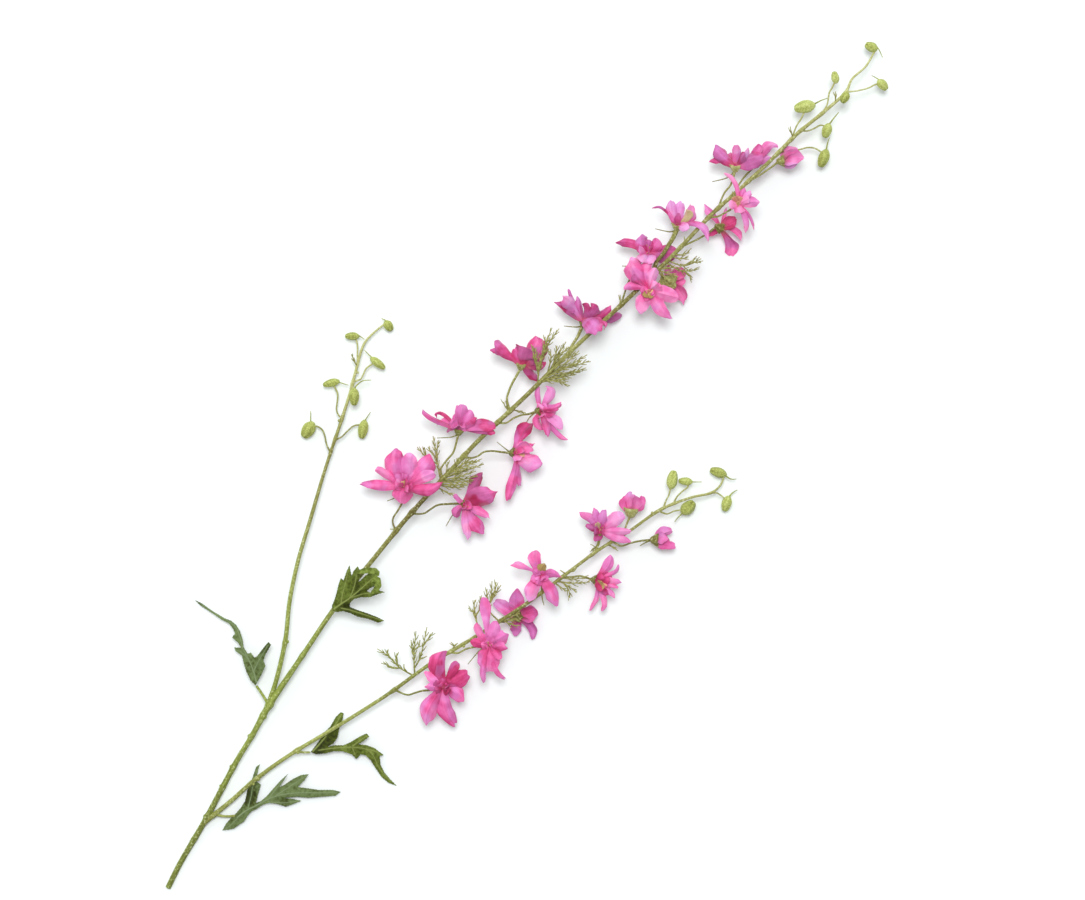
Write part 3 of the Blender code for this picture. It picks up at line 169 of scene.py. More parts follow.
# %% Blooms of the main stem, lowest first
MAIN_BLOOMS = [
    Bloom("main_bloom_01", "main_stem", (404, 488, 21), (-10, 25, 96),
          [(396, 531), (393, 524, 18), (393, 518, 14), (398, 510, 12), (402, 502, 12)],
          [(396, 497, 15), (387, 501, 14.5)],
          [(396, 450, 6, 21, (0.62, 0.58), ROUND, (395, 465)), (410, 453, 11, 16, 0.86, ROUND, (409, 466)),
           (430, 455, 8, 19, (0.72, 0.58), ROUND, (424, 468)), (435, 473, 13, 11, 0.86, ROUND, (424, 477)),
           (443, 482, 9, 12, 0.54, POINTED, (427, 489)), (402, 502, -4, 20, (0.55, 0.70), ROUND, (402, 494)),
           (361, 484, 1, 11, (0.85, 0.42), POINTED, (380, 485)), (376, 469, 10, 8, 0.85, ROUND, (385, 473))],
          Heart(7, 6, 1, 0, 0.60, (0, -8))),
    Bloom("main_bloom_02", "main_stem", (459, 431, 24), (12, 82, 55),
          [(443, 479), (441, 469), (447, 460), (453, 453), (456, 444)], [(452, 437), (437, 438)],
          [(422, 411, 4, 5, 0.50, STRAP, (433, 419)), (435, 418, 3, 4, 0.40, STRAP, (443, 414)),
           (438, 424, -6, 10, 0.76, ROUND, (446, 421)), (447, 431, -9, 9, 0.30, CUPPED, (452, 426)),
           (457, 405, -6, 5, 0.56), (463, 405, 9, 13, (0.30, 0.74)), (472, 410, 5, 11, (0.24, 0.66)),
           (478, 418, 9, 9, 0.40, POINTED), (496, 427, 9, 12, (0.46, 0.28), ROUND, (481, 425)),
           (494, 434, 4, 7, 0.36, STRAP, (482, 430))], Heart(5, 3, 0, 0, 0.60, (0, -4))),
    Bloom("main_bloom_03", "main_stem", (521, 366, 24), (10, 85, 50),
          [(508, 409), (507, 400), (509, 391), (513, 382), (517, 375)], [],
          [(494, 343, 6, 14, (0.30, 0.46), SPOON, (507, 353)), (491, 351, 2, 6, 0.50, STRAP, (504, 354)),
           (526, 347, 8, 25, (0.06, 0.36), SPOON, (522, 357)), (515, 348, 5, 8, 0.50),
           (540, 338, 4, 21, (0.34, 0.60), ROUND, (534, 351)), (547, 341, 1, 9, 0.36, STRAP, (538, 357)),
           (538, 380, -8, 10, 0.26, ROUND, (530, 371)), (546, 362, -8, 10, 0.24, ROUND, (536, 366))],
          NO_HEART),
    Bloom("main_bloom_04", "main_stem", (583, 323, 19), (10, 80, 60),
          [(568, 352), (573, 344), (578, 336)], [(577, 327), (564, 326)],
          [(562, 299, 8, 14, (0.60, 0.82), SPOON, (574, 307)), (554, 303, 3, 10, 0.34, POINTED, (568, 309)),
           (568, 290, 3, 4, 0.55, STRAP, (573, 302)), (577, 297, 7, 8, 0.56),
           (572, 313, 5, 7, 0.44, STRAP, (576, 311)),
           (589, 303, 11, 14, (0.14, 0.38), SPOON, (586, 312)), (598, 304, 10, 13, 0.40, SPOON, (592, 313)),
           (599, 334, 22, 21, (0.42, 0.62), ROUND, (591, 323)), (605, 331, 16, 5, 0.50, STRAP, (602, 322)),
           (611, 308, 2, 7, 0.46, STRAP, (600, 315)), (621, 315, -12, 13, (0.20, 0.40), ROUND, (606, 316))],
          NO_HEART),
    Bloom("main_bloom_05", "main_stem", (648, 254, 20), (0, 30, 95),
          [(621, 306), (624, 295), (628, 283), (636, 268)], [(632, 265), (622, 266)],
          [(618, 243, 0, 10, (0.46, 0.38), STRAP, (633, 244)),
           (641, 235, 6, 14, (0.42, 0.66), ROUND, (642, 244)),
           (650, 240, 6, 8, 0.56), (658, 239, 5, 12, 0.62, ROUND, (656, 246)),
           (677, 253, -5, 17, (0.40, 0.50), ROUND, (663, 254)),
           (638, 251, 13, 10, (0.70, 0.90), CUPPED), (641, 262, 21, 13, (0.84, 0.96), CUPPED),
           (651, 263, 20, 12, (0.80, 0.92), CUPPED)],
          Heart(4, 3, 1, 3, 0.45, (-2, -7))),
    Bloom("main_bloom_06", "main_stem", (649, 290, 32), (3, -10, 99),
          [(641, 287), (645, 289)], [],
          [(632, 261, 4, 20, (0.40, 0.78), ROUND, (634, 272)), (650, 259, 3, 11, 0.80, ROUND, (646, 272)),
           (655, 269, 8, 12, 0.92, ROUND, (651, 279)), (661, 287, 9, 11, 0.80),
           (677, 298, 1, 17, (0.66, 0.82)),
           (670, 318, -3, 14, 0.82, POINTED, (659, 308)), (640, 313, -1, 15, (0.66, 0.92), ROUND, (643, 302)),
           (624, 288, 1, 9, 0.66, ROUND, (635, 286)), (633, 275, 7, 9, (0.44, 0.42), SPOON, (637, 282)),
           (657, 284, 11, 9, 0.90), (645, 298, 7, 9, -0.98, CUPPED), (651, 299, 6, 8, -0.92, CUPPED)],
          Heart(4, 2, 3, 0, 0.52, (-1, 3))),
    Bloom("main_bloom_07", "main_stem", (666, 281, 19), (55, -35, -60),
          [(657, 271), (660, 274)], [],
          [(684, 304, -10, 15, (0.66, 0.80), POINTED, (679, 291)), (685, 269, -5, 12, 0.74),
           (686, 281, -7, 11, 0.74), (668, 264, -5, 7, 0.70), (676, 289, -19, 12, 0.62)], NO_HEART),
    Bloom("main_bloom_08", "main_stem", (677, 227, 25), (10, 80, 55),
          [(653, 274, 26), (656, 263, 28), (663, 254, 28), (668, 246, 26), (673, 238, 25)],
          [(670, 232), (655, 229)],
          [(653, 210, 4, 3, 0.46, STRAP, (664, 210)), (671, 201, 4, 10, 0.90, CUPPED, (672, 213)),
           (681, 202, -2, 11, 0.86, ROUND, (678, 214)), (678, 214, 10, 7, 0.66),
           (691, 206, 6, 12, 0.84, CUPPED, (689, 216)), (688, 210, 9, 8, -0.62, ROUND, (687, 217)),
           (706, 243, 9, 8, (0.50, 0.82), STRAP, (701, 226)), (688, 229, 12, 9, 0.96, CUPPED),
           (668, 212, 2, 5, 0.64, STRAP)], NO_HEART),
    Bloom("main_bloom_09", "main_stem", (719, 227, 15), (65, -35, -50),
          [(681, 248), (690, 243), (700, 238), (708, 233)], [],
          [(736, 219, 1, 13, (0.10, 0.36)), (732, 255, -15, 14, (0.40, 0.66), SPOON, (731, 240)),
           (742, 239, -2, 7, (0.50, 0.84), STRAP, (734, 229)), (704, 204, -5, 8, (0.60, 0.90), SPOON),
           (707, 235, -6, 6, 0.56), (726, 207, -4, 4, 0.72, STRAP)], NO_HEART),
    Bloom("main_bloom_10", "main_stem", (738, 205, 32), (5, 0, 99),
          [(709, 217), (717, 217), (725, 213), (732, 209)], [],
          [(724, 175, 2, 5, (0.66, 0.90), STRAP, (735, 185)), (744, 189, 4, 7, 0.50), (750, 193, 5, 8, 0.82),
           (758, 203, 2, 12, (0.90, 0.64), ROUND, (749, 203)), (745, 231, -3, 6, 0.80, STRAP, (745, 219)),
           (753, 229, -7, 3, 0.66, STRAP, (749, 217)), (728, 207, 8, 10, 0.98, CUPPED),
           (740, 214, 6, 11, 0.88, CUPPED),
           (734, 197, 6, 9, -0.38, CUPPED), (741, 198, 6, 8, -0.44, CUPPED), (748, 199, 9, 8, 1.0, CUPPED)],
          Heart(0, 0, 5, 2, 0.80, (-1, -1))),
    Bloom("main_bloom_11", "main_stem", (735, 168, 26), (0, 85, 50),
          [(718, 208), (721, 200), (725, 192), (730, 186), (733, 178)], [(727, 178), (712, 182)],
          [(714, 147, 2, 14, (0.34, 0.58), ROUND, (724, 157)), (711, 163, -3, 7, 0.46, SPOON, (722, 161)),
           (736, 145, 5, 9, 0.84), (744, 153, 8, 8, 0.34), (749, 150, 9, 6, 0.90, STRAP),
           (763, 156, 6, 15, (0.56, 0.42), ROUND, (749, 162)), (731, 153, -16, 12, 0.36)], NO_HEART),
    Bloom("main_bloom_12", "main_stem", (756, 164, 13), (45, 70, 20),
          [(735, 194), (740, 183, 19), (746, 175, 15)], [],
          [(777, 147, 2, 9, 0.76, STRAP, (765, 147)), (760, 145, 5, 11, 0.76), (771, 157, -4, 8, 0.82),
           (752, 152, -6, 8, 0.48)], NO_HEART),
    Bloom("main_bloom_13", "main_stem", (781, 161, 19), (95, 12, 5),
          [(748, 182), (757, 177), (766, 171), (773, 166)], [],
          [(798, 150, 2, 10, 0.94, CUPPED, (789, 152)), (797, 164, -1, 9, 0.96, CUPPED, (788, 163)),
           (803, 158, 7, 16, (0.84, 0.90), CUPPED, (792, 157)), (788, 150, -4, 10, 0.92, CUPPED),
           (801, 156, -7, 13, 0.80, CUPPED)], NO_HEART),
    Bloom("main_bloom_14", "main_stem", (539, 411, 22), (80, 5, 60),
          [(497, 422), (506, 423), (514, 418), (522, 415), (529, 414)], [(530, 417), (526, 423)],
          [(548, 386, 4, 9, 0.88, ROUND, (550, 396)), (538, 387, -2, 5, 0.66, STRAP, (538, 397)),
           (561, 403, 9, 6, 0.64, STRAP, (552, 408)), (559, 409, 7, 4, 0.58, STRAP),
           (553, 414, 9, 7, 0.60, CUPPED), (562, 430, 4, 10, 0.90, ROUND, (555, 420)),
           (565, 439, -3, 5, 0.74, STRAP, (555, 431)), (547, 437, 5, 8, 0.48, POINTED, (547, 426)),
           (544, 430, -4, 9, 0.62, ROUND, (537, 421)), (556, 411, -13, 11, 0.62)],
          Heart(4, 2, 0, 0, 0.74, (3, 0))),
    Bloom("main_bloom_15", "main_stem", (513, 453, 20), (80, 0, 60),
          [(464, 457), (471, 458), (478, 456), (484, 452), (492, 451), (501, 452)],
          [(507, 450), (497, 442)],
          [(529, 422, 4, 17, (0.86, 0.20), SPOON, (520, 437)), (535, 443, 6, 6, 0.66, POINTED),
           (533, 451, 10, 10, 0.82, ROUND, (524, 447)), (542, 464, 4, 18, (0.80, 0.76), ROUND, (529, 462)),
           (506, 499, -5, 10, 0.62, SPOON, (514, 475)), (519, 484, -8, 7, 0.56, STRAP, (518, 472)),
           (530, 456, -13, 12, 0.60)], Heart(3, 2, 1, 0, 0.70, (6, 0))),
    Bloom("main_bloom_16", "main_stem", (463, 504, 20), (70, -20, 65),
          [(412, 513), (418, 514), (425, 513), (431, 509), (438, 505), (448, 504)],
          [(455, 511), (446, 526)],
          [(480, 473, 3, 14, (0.40, 0.22), SPOON, (472, 489)),
           (497, 491, 8, 22, (0.02, 0.56), POINTED, (480, 498)),
           (489, 518, 4, 9, 0.76, POINTED, (480, 511)), (467, 539, -3, 10, 0.88, POINTED, (467, 524)),
           (484, 533, -2, 13, (0.76, 0.50), ROUND, (473, 521)),
           (456, 518, 3, 9, (0.50, 0.24), ROUND, (457, 511)),
           (454, 494, 5, 5, 0.62, STRAP, (458, 499)), (480, 510, -20, 12, 0.5)],
          Heart(2, 1, 0, 5, 0.66, (4, 3))),
]
print("blooms on the main stem:", len(MAIN_BLOOMS))

# %% Blooms of the flowering shoot
SIDE_BLOOMS = [
    Bloom("side_bloom_01", "flower_shoot", (443, 687, 21), (10, 5, 99),
          [(395, 690), (401, 693), (408, 695), (415, 693), (422, 691), (431, 690)], [],
          [(444, 651, 5, 17, (0.16, 0.46), ROUND, (437, 665)), (457, 661, 7, 9, 0.28, ROUND, (453, 670)),
           (468, 673, 3, 18, (0.22, 0.38), ROUND, (456, 680)),
           (463, 702, 1, 14, (0.40, 0.60), ROUND, (456, 692)),
           (454, 725, -5, 16, (0.84, 0.40), ROUND, (444, 706)),
           (427, 723, -2, 18, (0.36, 0.80), ROUND, (430, 706)),
           (424, 671, 3, 9, 0.72), (425, 686, 6, 9, 0.70)], BALL_HEART),
    Bloom("side_bloom_02", "flower_shoot", (489, 645, 25), (10, 5, 99),
          [(450, 652), (458, 653), (466, 649), (474, 647), (482, 646)], [(480, 650), (468, 664)],
          [(484, 599, 3, 12, (0.78, 0.62), SPOON, (486, 619)), (476, 623, 5, 8, 0.72, STRAP, (480, 633)),
           (470, 641, 3, 10, 0.44, CUPPED), (496, 621, 6, 14, 0.62, CUPPED), (507, 633, 4, 16, 0.60),
           (507, 647, 7, 10, 0.58), (501, 659, 5, 10, 0.62, CUPPED),
           (489, 671, -2, 22, 0.70, ROUND, (488, 658)), (484, 681, -3, 7, 0.66, STRAP, (484, 666)),
           (503, 677, -5, 6, 0.66, STRAP, (494, 666))],
          Heart(6, 5, 1, 3, 0.60, (0, -4))),
    Bloom("side_bloom_03", "flower_shoot", (517, 617, 11), (15, 0, -90),
          [(500, 621), (504, 622), (509, 620)], [],
          [(516, 590, -3, 15, 0.66), (495, 601, -4, 13, 0.90), (538, 612, -2, 17, (0.46, 0.58)),
           (533, 640, -6, 9, 0.60, STRAP, (530, 625)), (515, 637, -6, 11, 0.66)], NO_HEART),
    Bloom("side_bloom_04", "flower_shoot", (541, 575, 28), (0, 10, 99),
          [(543, 592), (542, 584)], [(542, 596), (544, 605)],
          [(535, 550, 4, 14, 0.72, ROUND, (535, 561)), (512, 565, 2, 7, 0.80, SPOON, (525, 567)),
           (561, 577, 4, 9, 0.56, POINTED, (551, 573)), (529, 601, 1, 15, 0.84, POINTED, (532, 589)),
           (557, 605, -2, 13, (0.50, 0.70), ROUND, (550, 590)), (545, 563, 8, 9, -0.86, ROUND, (541, 569))],
          Heart(5, 3, 0, 0, 0.56, (-2, 3))),
    Bloom("side_bloom_05", "flower_shoot", (595, 580, 17), (80, -10, 60),
          [(562, 577), (571, 577), (580, 576), (587, 578)], [],
          [(611, 555, 6, 9, 0.70, ROUND, (607, 567)), (618, 565, 8, 5, 0.66, STRAP, (612, 574)),
           (622, 582, 6, 8, 0.80, POINTED), (618, 588, 3, 5, 0.74, STRAP), (615, 597, 2, 6, 0.78),
           (602, 609, -2, 6, 0.76, STRAP, (604, 599)), (590, 609, -6, 5, 0.76, STRAP, (597, 598)),
           (604, 588, 9, 7, -0.80, CUPPED), (608, 576, -17, 9, 0.5)], Heart(5, 3, 3, 2, 0.36, (7, 4))),
    Bloom("side_bloom_06", "flower_shoot", (600, 532, 22), (5, 35, 93),
          [(592, 555), (596, 549), (599, 543)], [(597, 545), (590, 552)],
          [(579, 513, 3, 9, 0.74, ROUND, (591, 519)), (594, 508, 4, 8, 0.62), (604, 510, 7, 9, 0.64),
           (623, 514, 3, 15, 0.88, ROUND, (612, 521)), (631, 531, 4, 8, 0.86, ROUND, (615, 531)),
           (631, 542, 2, 9, 0.82, ROUND, (614, 536)), (595, 541, -2, 10, 0.40), (586, 525, 3, 7, 0.44),
           (597, 523, 9, 6, -0.50, CUPPED)],
          Heart(5, 3, 1, 1, 0.36, (-1, -6))),
    Bloom("side_bloom_07", "flower_shoot", (631, 513, 17), (10, 97, 20),
          [(622, 536), (625, 529), (628, 521)], [],
          [(624, 496, 0, 9, 0.60, CUPPED, (625, 505)), (630, 491, 4, 10, 0.88, CUPPED, (629, 502)),
           (643, 496, 1, 8, 0.66, CUPPED, (640, 505)), (637, 496, 6, 10, 0.80, CUPPED, (636, 504)),
           (634, 496, -6, 16, 0.60)], NO_HEART),
    Bloom("side_bloom_08", "flower_shoot", (655, 540, 13), (97, -3, 20),
          [(613, 542), (621, 546), (631, 543), (641, 541)], [(645, 543), (640, 546)],
          [(673, 531, 0, 10, 0.72, CUPPED, (662, 533)), (675, 546, 2, 10, 0.66, CUPPED, (664, 544)),
           (667, 538, 4, 12, 0.84), (669, 540, -6, 15, 0.58)], NO_HEART),
]
BLOOMS = MAIN_BLOOMS + SIDE_BLOOMS
print("blooms in all:", len(BLOOMS), "petals:", sum(len(bloom.petals) for bloom in BLOOMS))

# %% [markdown]
# ## Buds, thread leaves and lobed leaves
#
# A bud is a folded bloom on a thin pedicel. Its line gives base and tip on the plan, width and
# height. A thread leaf is a fan of forking threads, so each thread is a short route whose root lies
# on the stem or on an earlier thread. A lobed leaf is an outline, with the ribs that carry its
# heights, and for one leaf the tips that curl over.

# %% Buds
Bud = namedtuple("Bud", "stem base tip width height pedicel spur")
BUDS = [
    Bud("main_stem", (877, 49), (866, 44), 10, 15, [], [(878, 47), (883, 57)]),
    Bud("main_stem", (836, 83), (834, 72), 8, 23,
        [(821, 114), (826, 107), (828, 100), (829, 93), (832, 88), (835, 81)], []),
    Bud("main_stem", (879, 80), (887, 89), 9.5, 14,
        [(846, 92), (853, 91.5), (861, 90), (868, 88), (874, 85), (881, 82)], [(879, 79), (872, 75)]),
    Bud("main_stem", (814, 105), (795, 109), 13, 20,
        [(792, 139), (794, 132), (797, 125), (801, 119), (805, 111)], [(820, 101), (828, 98)]),
    Bud("main_stem", (847, 93), (842, 103), 9, 25, [], []),
    Bud("main_stem", (829, 124), (825, 137), 10, 15,
        [(801, 131), (808, 131), (815, 128), (821, 125), (827, 127)], [(834, 118), (839, 112)]),
    Bud("main_stem", (827, 150), (821, 166), 11, 11,
        [(778, 153, 24), (785, 151, 17), (792, 150, 13), (800, 149, 11.5), (808, 147, 11.5),
         (816, 148, 11.5), (824, 153, 11)], [(828, 143), (830, 137)]),
    Bud("bud_shoot", (385, 321), (391, 330), 9, 5, [], [(385, 320), (381, 318)]),
    Bud("bud_shoot", (358, 336), (345, 336), 8, 7.5,
        [(357, 364), (357, 355), (357, 345), (355, 337)], [(358, 335), (364, 339)]),
    Bud("bud_shoot", (371, 358), (384, 368), 8, 7.5,
        [(354, 382), (360, 379), (363, 374), (366, 368), (374, 362)], [(371, 357), (364, 350)]),
    Bud("bud_shoot", (338, 381), (323, 385), 8, 7,
        [(342, 418), (338, 415), (336, 409), (337, 400), (337, 393), (333, 384)],
        [(338, 382), (348, 385)]),
    Bud("bud_shoot", (354, 389), (354, 405), 10, 14.5, [(352, 384, 9), (353, 391, 14)],
        [(355, 387), (362, 381), (371, 380)]),
    Bud("bud_shoot", (312, 423), (303, 437), 13, 4.44,
        [(330, 453), (326, 444), (324, 435), (321, 429), (315, 426), (309, 428)],
        [(310, 423), (310, 411)]),
    Bud("bud_shoot", (364, 421), (361, 438), 10, 5,
        [(335, 440), (341, 437), (347, 431), (353, 426), (359, 425), (363, 428)],
        [(364, 421), (370, 412)]),
    Bud("flower_shoot", (726, 475), (711, 470), 10, 7.5, [], [(731, 479), (737, 479)]),
    Bud("flower_shoot", (729, 497), (725, 511), 10, 6,
        [(711, 493), (717, 493), (722, 496), (728, 501)], [(733, 493), (738, 490)]),
    Bud("flower_shoot", (671, 488), (674, 471), 11, 14,
        [(663, 508), (666, 501), (669, 495), (671, 486)], []),
    Bud("flower_shoot", (692, 482), (679, 481), 8, 12,
        [(673, 504), (677, 497), (683, 491), (688, 487), (688, 482)], [(692, 482), (702, 482)]),
    Bud("flower_shoot", (683, 513), (694, 502), 13, 8,
        [(659, 511), (667, 514), (675, 511), (685, 510)], [(684, 512), (678, 518), (675, 522)]),
]
print("buds:", len(BUDS))

# %% Thread leaves
Frond = namedtuple("Frond", "stem threads")
FRONDS = [
    Frond("main_stem", [
        [(444, 478, 25), (462, 472, 29), (484, 464, 31)], [(446, 476, 25), (463, 467, 29), (479, 461, 32)],
        [(442, 480, 25), (458, 477, 30), (476, 471, 33)], [(440, 483, 25), (457, 482, 28), (473, 481, 31)],
        [(438, 485, 25), (450, 487, 27), (465, 487, 28)], [(437, 487, 24), (446, 492, 24), (456, 496, 22)],
        [(452, 469, 25), (456, 465, 27), (457, 458, 29)], [(446, 476, 25), (447, 469, 27), (448, 462, 28)],
        [(448, 474, 25), (465, 463, 28), (480, 461, 29)], [(445, 477, 25), (458, 472, 31), (474, 466, 34)],
        [(441, 481, 25), (459, 480, 27), (478, 476, 29)], [(439, 484, 25), (453, 485, 29), (468, 484, 31)],
        [(450, 472, 25), (462, 465, 27), (470, 458, 28)]]),
    Frond("main_stem", [
        [(441, 481, 24), (437, 462, 18), (433, 436, 17)], [(437, 462, 18), (437, 450, 19), (439, 440, 20)],
        [(436, 458, 18), (431, 452, 17), (428, 447, 16)], [(438, 464, 18), (426, 457, 15), (417, 447, 14)],
        [(428, 458, 15), (424, 452, 15), (424, 447, 16)]]),
    Frond("main_stem", [
        [(537, 384, 27), (541, 358, 32), (552, 328, 34)], [(543, 352, 33), (551, 340, 34), (559, 329, 33)],
        [(539, 370, 30), (534, 358, 33), (533, 346, 33)], [(541, 362, 32), (545, 350, 33), (545, 337, 35)],
        [(546, 374, 28), (551, 358, 32), (549, 351, 33)], [(540, 376, 29), (536, 362, 32), (536, 348, 33)],
        [(540, 368, 31), (544, 352, 34), (548, 336, 35)]]),
    Frond("main_stem", [
        [(547, 373, 27), (557, 357, 30), (566, 342, 31)], [(553, 363, 29), (556, 354, 31), (557, 346, 32)],
        [(545, 375, 27), (563, 366, 30), (579, 351, 31)], [(543, 378, 27), (565, 368, 31), (587, 355, 32)],
        [(560, 369, 31), (575, 366, 31), (589, 361, 31)], [(541, 381, 27), (563, 376, 30), (586, 368, 31)],
        [(563, 376, 30), (571, 373, 29), (578, 371, 28)], [(540, 383, 27), (554, 381, 31), (570, 386, 32)],
        [(554, 381, 31), (560, 380, 32), (569, 379, 31)],
        [(545, 376, 27), (560, 364, 33), (572, 352, 35)], [(543, 379, 27), (560, 371, 33), (581, 362, 35)],
        [(548, 373, 27), (562, 360, 29), (576, 353, 28)], [(541, 382, 27), (556, 378, 28), (575, 375, 29)],
        [(550, 370, 27), (561, 355, 31), (569, 347, 32)], [(543, 380, 27), (561, 374, 28), (583, 371, 28)]]),
    Frond("main_stem", [
        [(668, 261, 26), (684, 266, 26), (701, 259, 27)], [(684, 266, 26), (692, 262, 27), (701, 263, 26)],
        [(666, 263, 26), (682, 271, 25), (699, 269, 25)], [(682, 271, 25), (688, 274, 25), (692, 280, 23)],
        [(674, 256, 26), (682, 255, 28), (689, 252, 29)], [(672, 257, 26), (680, 259, 28), (688, 258, 28)]]),
    Frond("flower_shoot", [
        [(413, 675, 18), (400, 668, 17), (389, 657, 15), (377, 649, 14)],
        [(400, 668, 17), (391, 668, 15), (383, 662, 14)], [(394, 661, 16), (388, 655, 17), (387, 650, 18)],
        [(398, 667, 17), (396, 660, 18), (397, 653, 18)], [(407, 671, 18), (404, 668, 19), (404, 664, 20)]]),
    Frond("flower_shoot", [
        [(414, 674, 18), (414, 656, 20), (416, 631, 22)], [(414, 656, 20), (412, 648, 20), (411, 640, 19)],
        [(415, 668, 19), (421, 655, 21), (427, 627, 22)], [(424, 645, 22), (429, 638, 23), (433, 632, 23)],
        [(419, 659, 21), (423, 658, 22), (427, 656, 22)], [(416, 650, 20), (419, 646, 21), (420, 640, 22)]]),
    Frond("flower_shoot", [
        [(481, 634, 20), (476, 620, 18), (475, 614, 18), (468, 608, 17)],
        [(475, 616, 18), (480, 608, 19), (480, 596, 19)], [(475, 614, 18), (474, 606, 18), (475, 600, 18)]]),
    Frond("flower_shoot", [
        [(499, 621, 22), (489, 610, 20), (491, 597, 20), (492, 581, 21)],
        [(490, 603, 20), (495, 594, 21), (501, 585, 21)], [(491, 598, 20), (495, 590, 19), (496, 582, 18)],
        [(489, 606, 20), (487, 598, 21), (487, 589, 22)]]),
    Frond("flower_shoot", [
        [(556, 581, 23), (573, 583, 23), (590, 582, 20)], [(558, 580, 23), (568, 586, 22), (577, 592, 20)],
        [(565, 585, 22), (569, 591, 21), (570, 598, 20)], [(561, 577, 23), (573, 579, 24), (588, 577, 20)],
        [(566, 574, 23), (563, 572, 24), (560, 570, 25)], [(570, 571, 22), (574, 571, 24), (577, 567, 25)],
        [(555, 583, 23), (562, 588, 22), (567, 591, 20)]]),
    Frond("flower_shoot", [
        [(452, 653, 20), (454, 646, 22), (451, 642, 23)], [(454, 647, 22), (455, 645, 22), (458, 643, 22)]]),
    Frond("flower_shoot", [
        [(608, 545, 20), (613, 547, 19), (618, 551, 18)], [(600, 549, 20), (594, 548, 20), (591, 551, 19)]]),
    Frond("bud_shoot", [[(357, 366, 9), (354, 361, 11), (351, 354, 13)]]),
    Frond("main_stem", [
        [(658, 273, 22), (666, 268, 27), (679, 268, 29)], [(658, 273, 22), (667, 273, 28), (678, 277, 29)],
        [(660, 276, 22), (666, 280, 27), (674, 283, 27)], [(660, 276, 22), (660, 282, 26), (663, 289, 26)]]),
    Frond("flower_shoot", [
        [(502, 621, 20), (512, 616, 22), (520, 613, 23)], [(503, 622, 20), (513, 620, 22), (521, 619, 22)],
        [(503, 622, 20), (510, 624, 20), (518, 626, 18)]]),
    Frond("main_stem", [
        [(794, 138, 25), (791, 134, 27), (790, 127, 28)], [(835, 101, 24), (835, 98, 26), (835, 92, 27)],
        [(399, 527, 23), (394, 529, 24), (390, 529, 24)], [(511, 409, 27), (518, 411, 24), (526, 413, 22)],
        [(508, 410, 27), (505, 406, 29), (504, 402, 30)], [(619, 306, 27), (620, 301, 29), (620, 295, 30)],
        [(683, 246, 26), (684, 242, 28), (684, 237, 29)], [(731, 198, 26), (732, 195, 28), (732, 192, 29)]]),
]
print("thread leaves:", len(FRONDS), "threads:", sum(len(frond.threads) for frond in FRONDS))

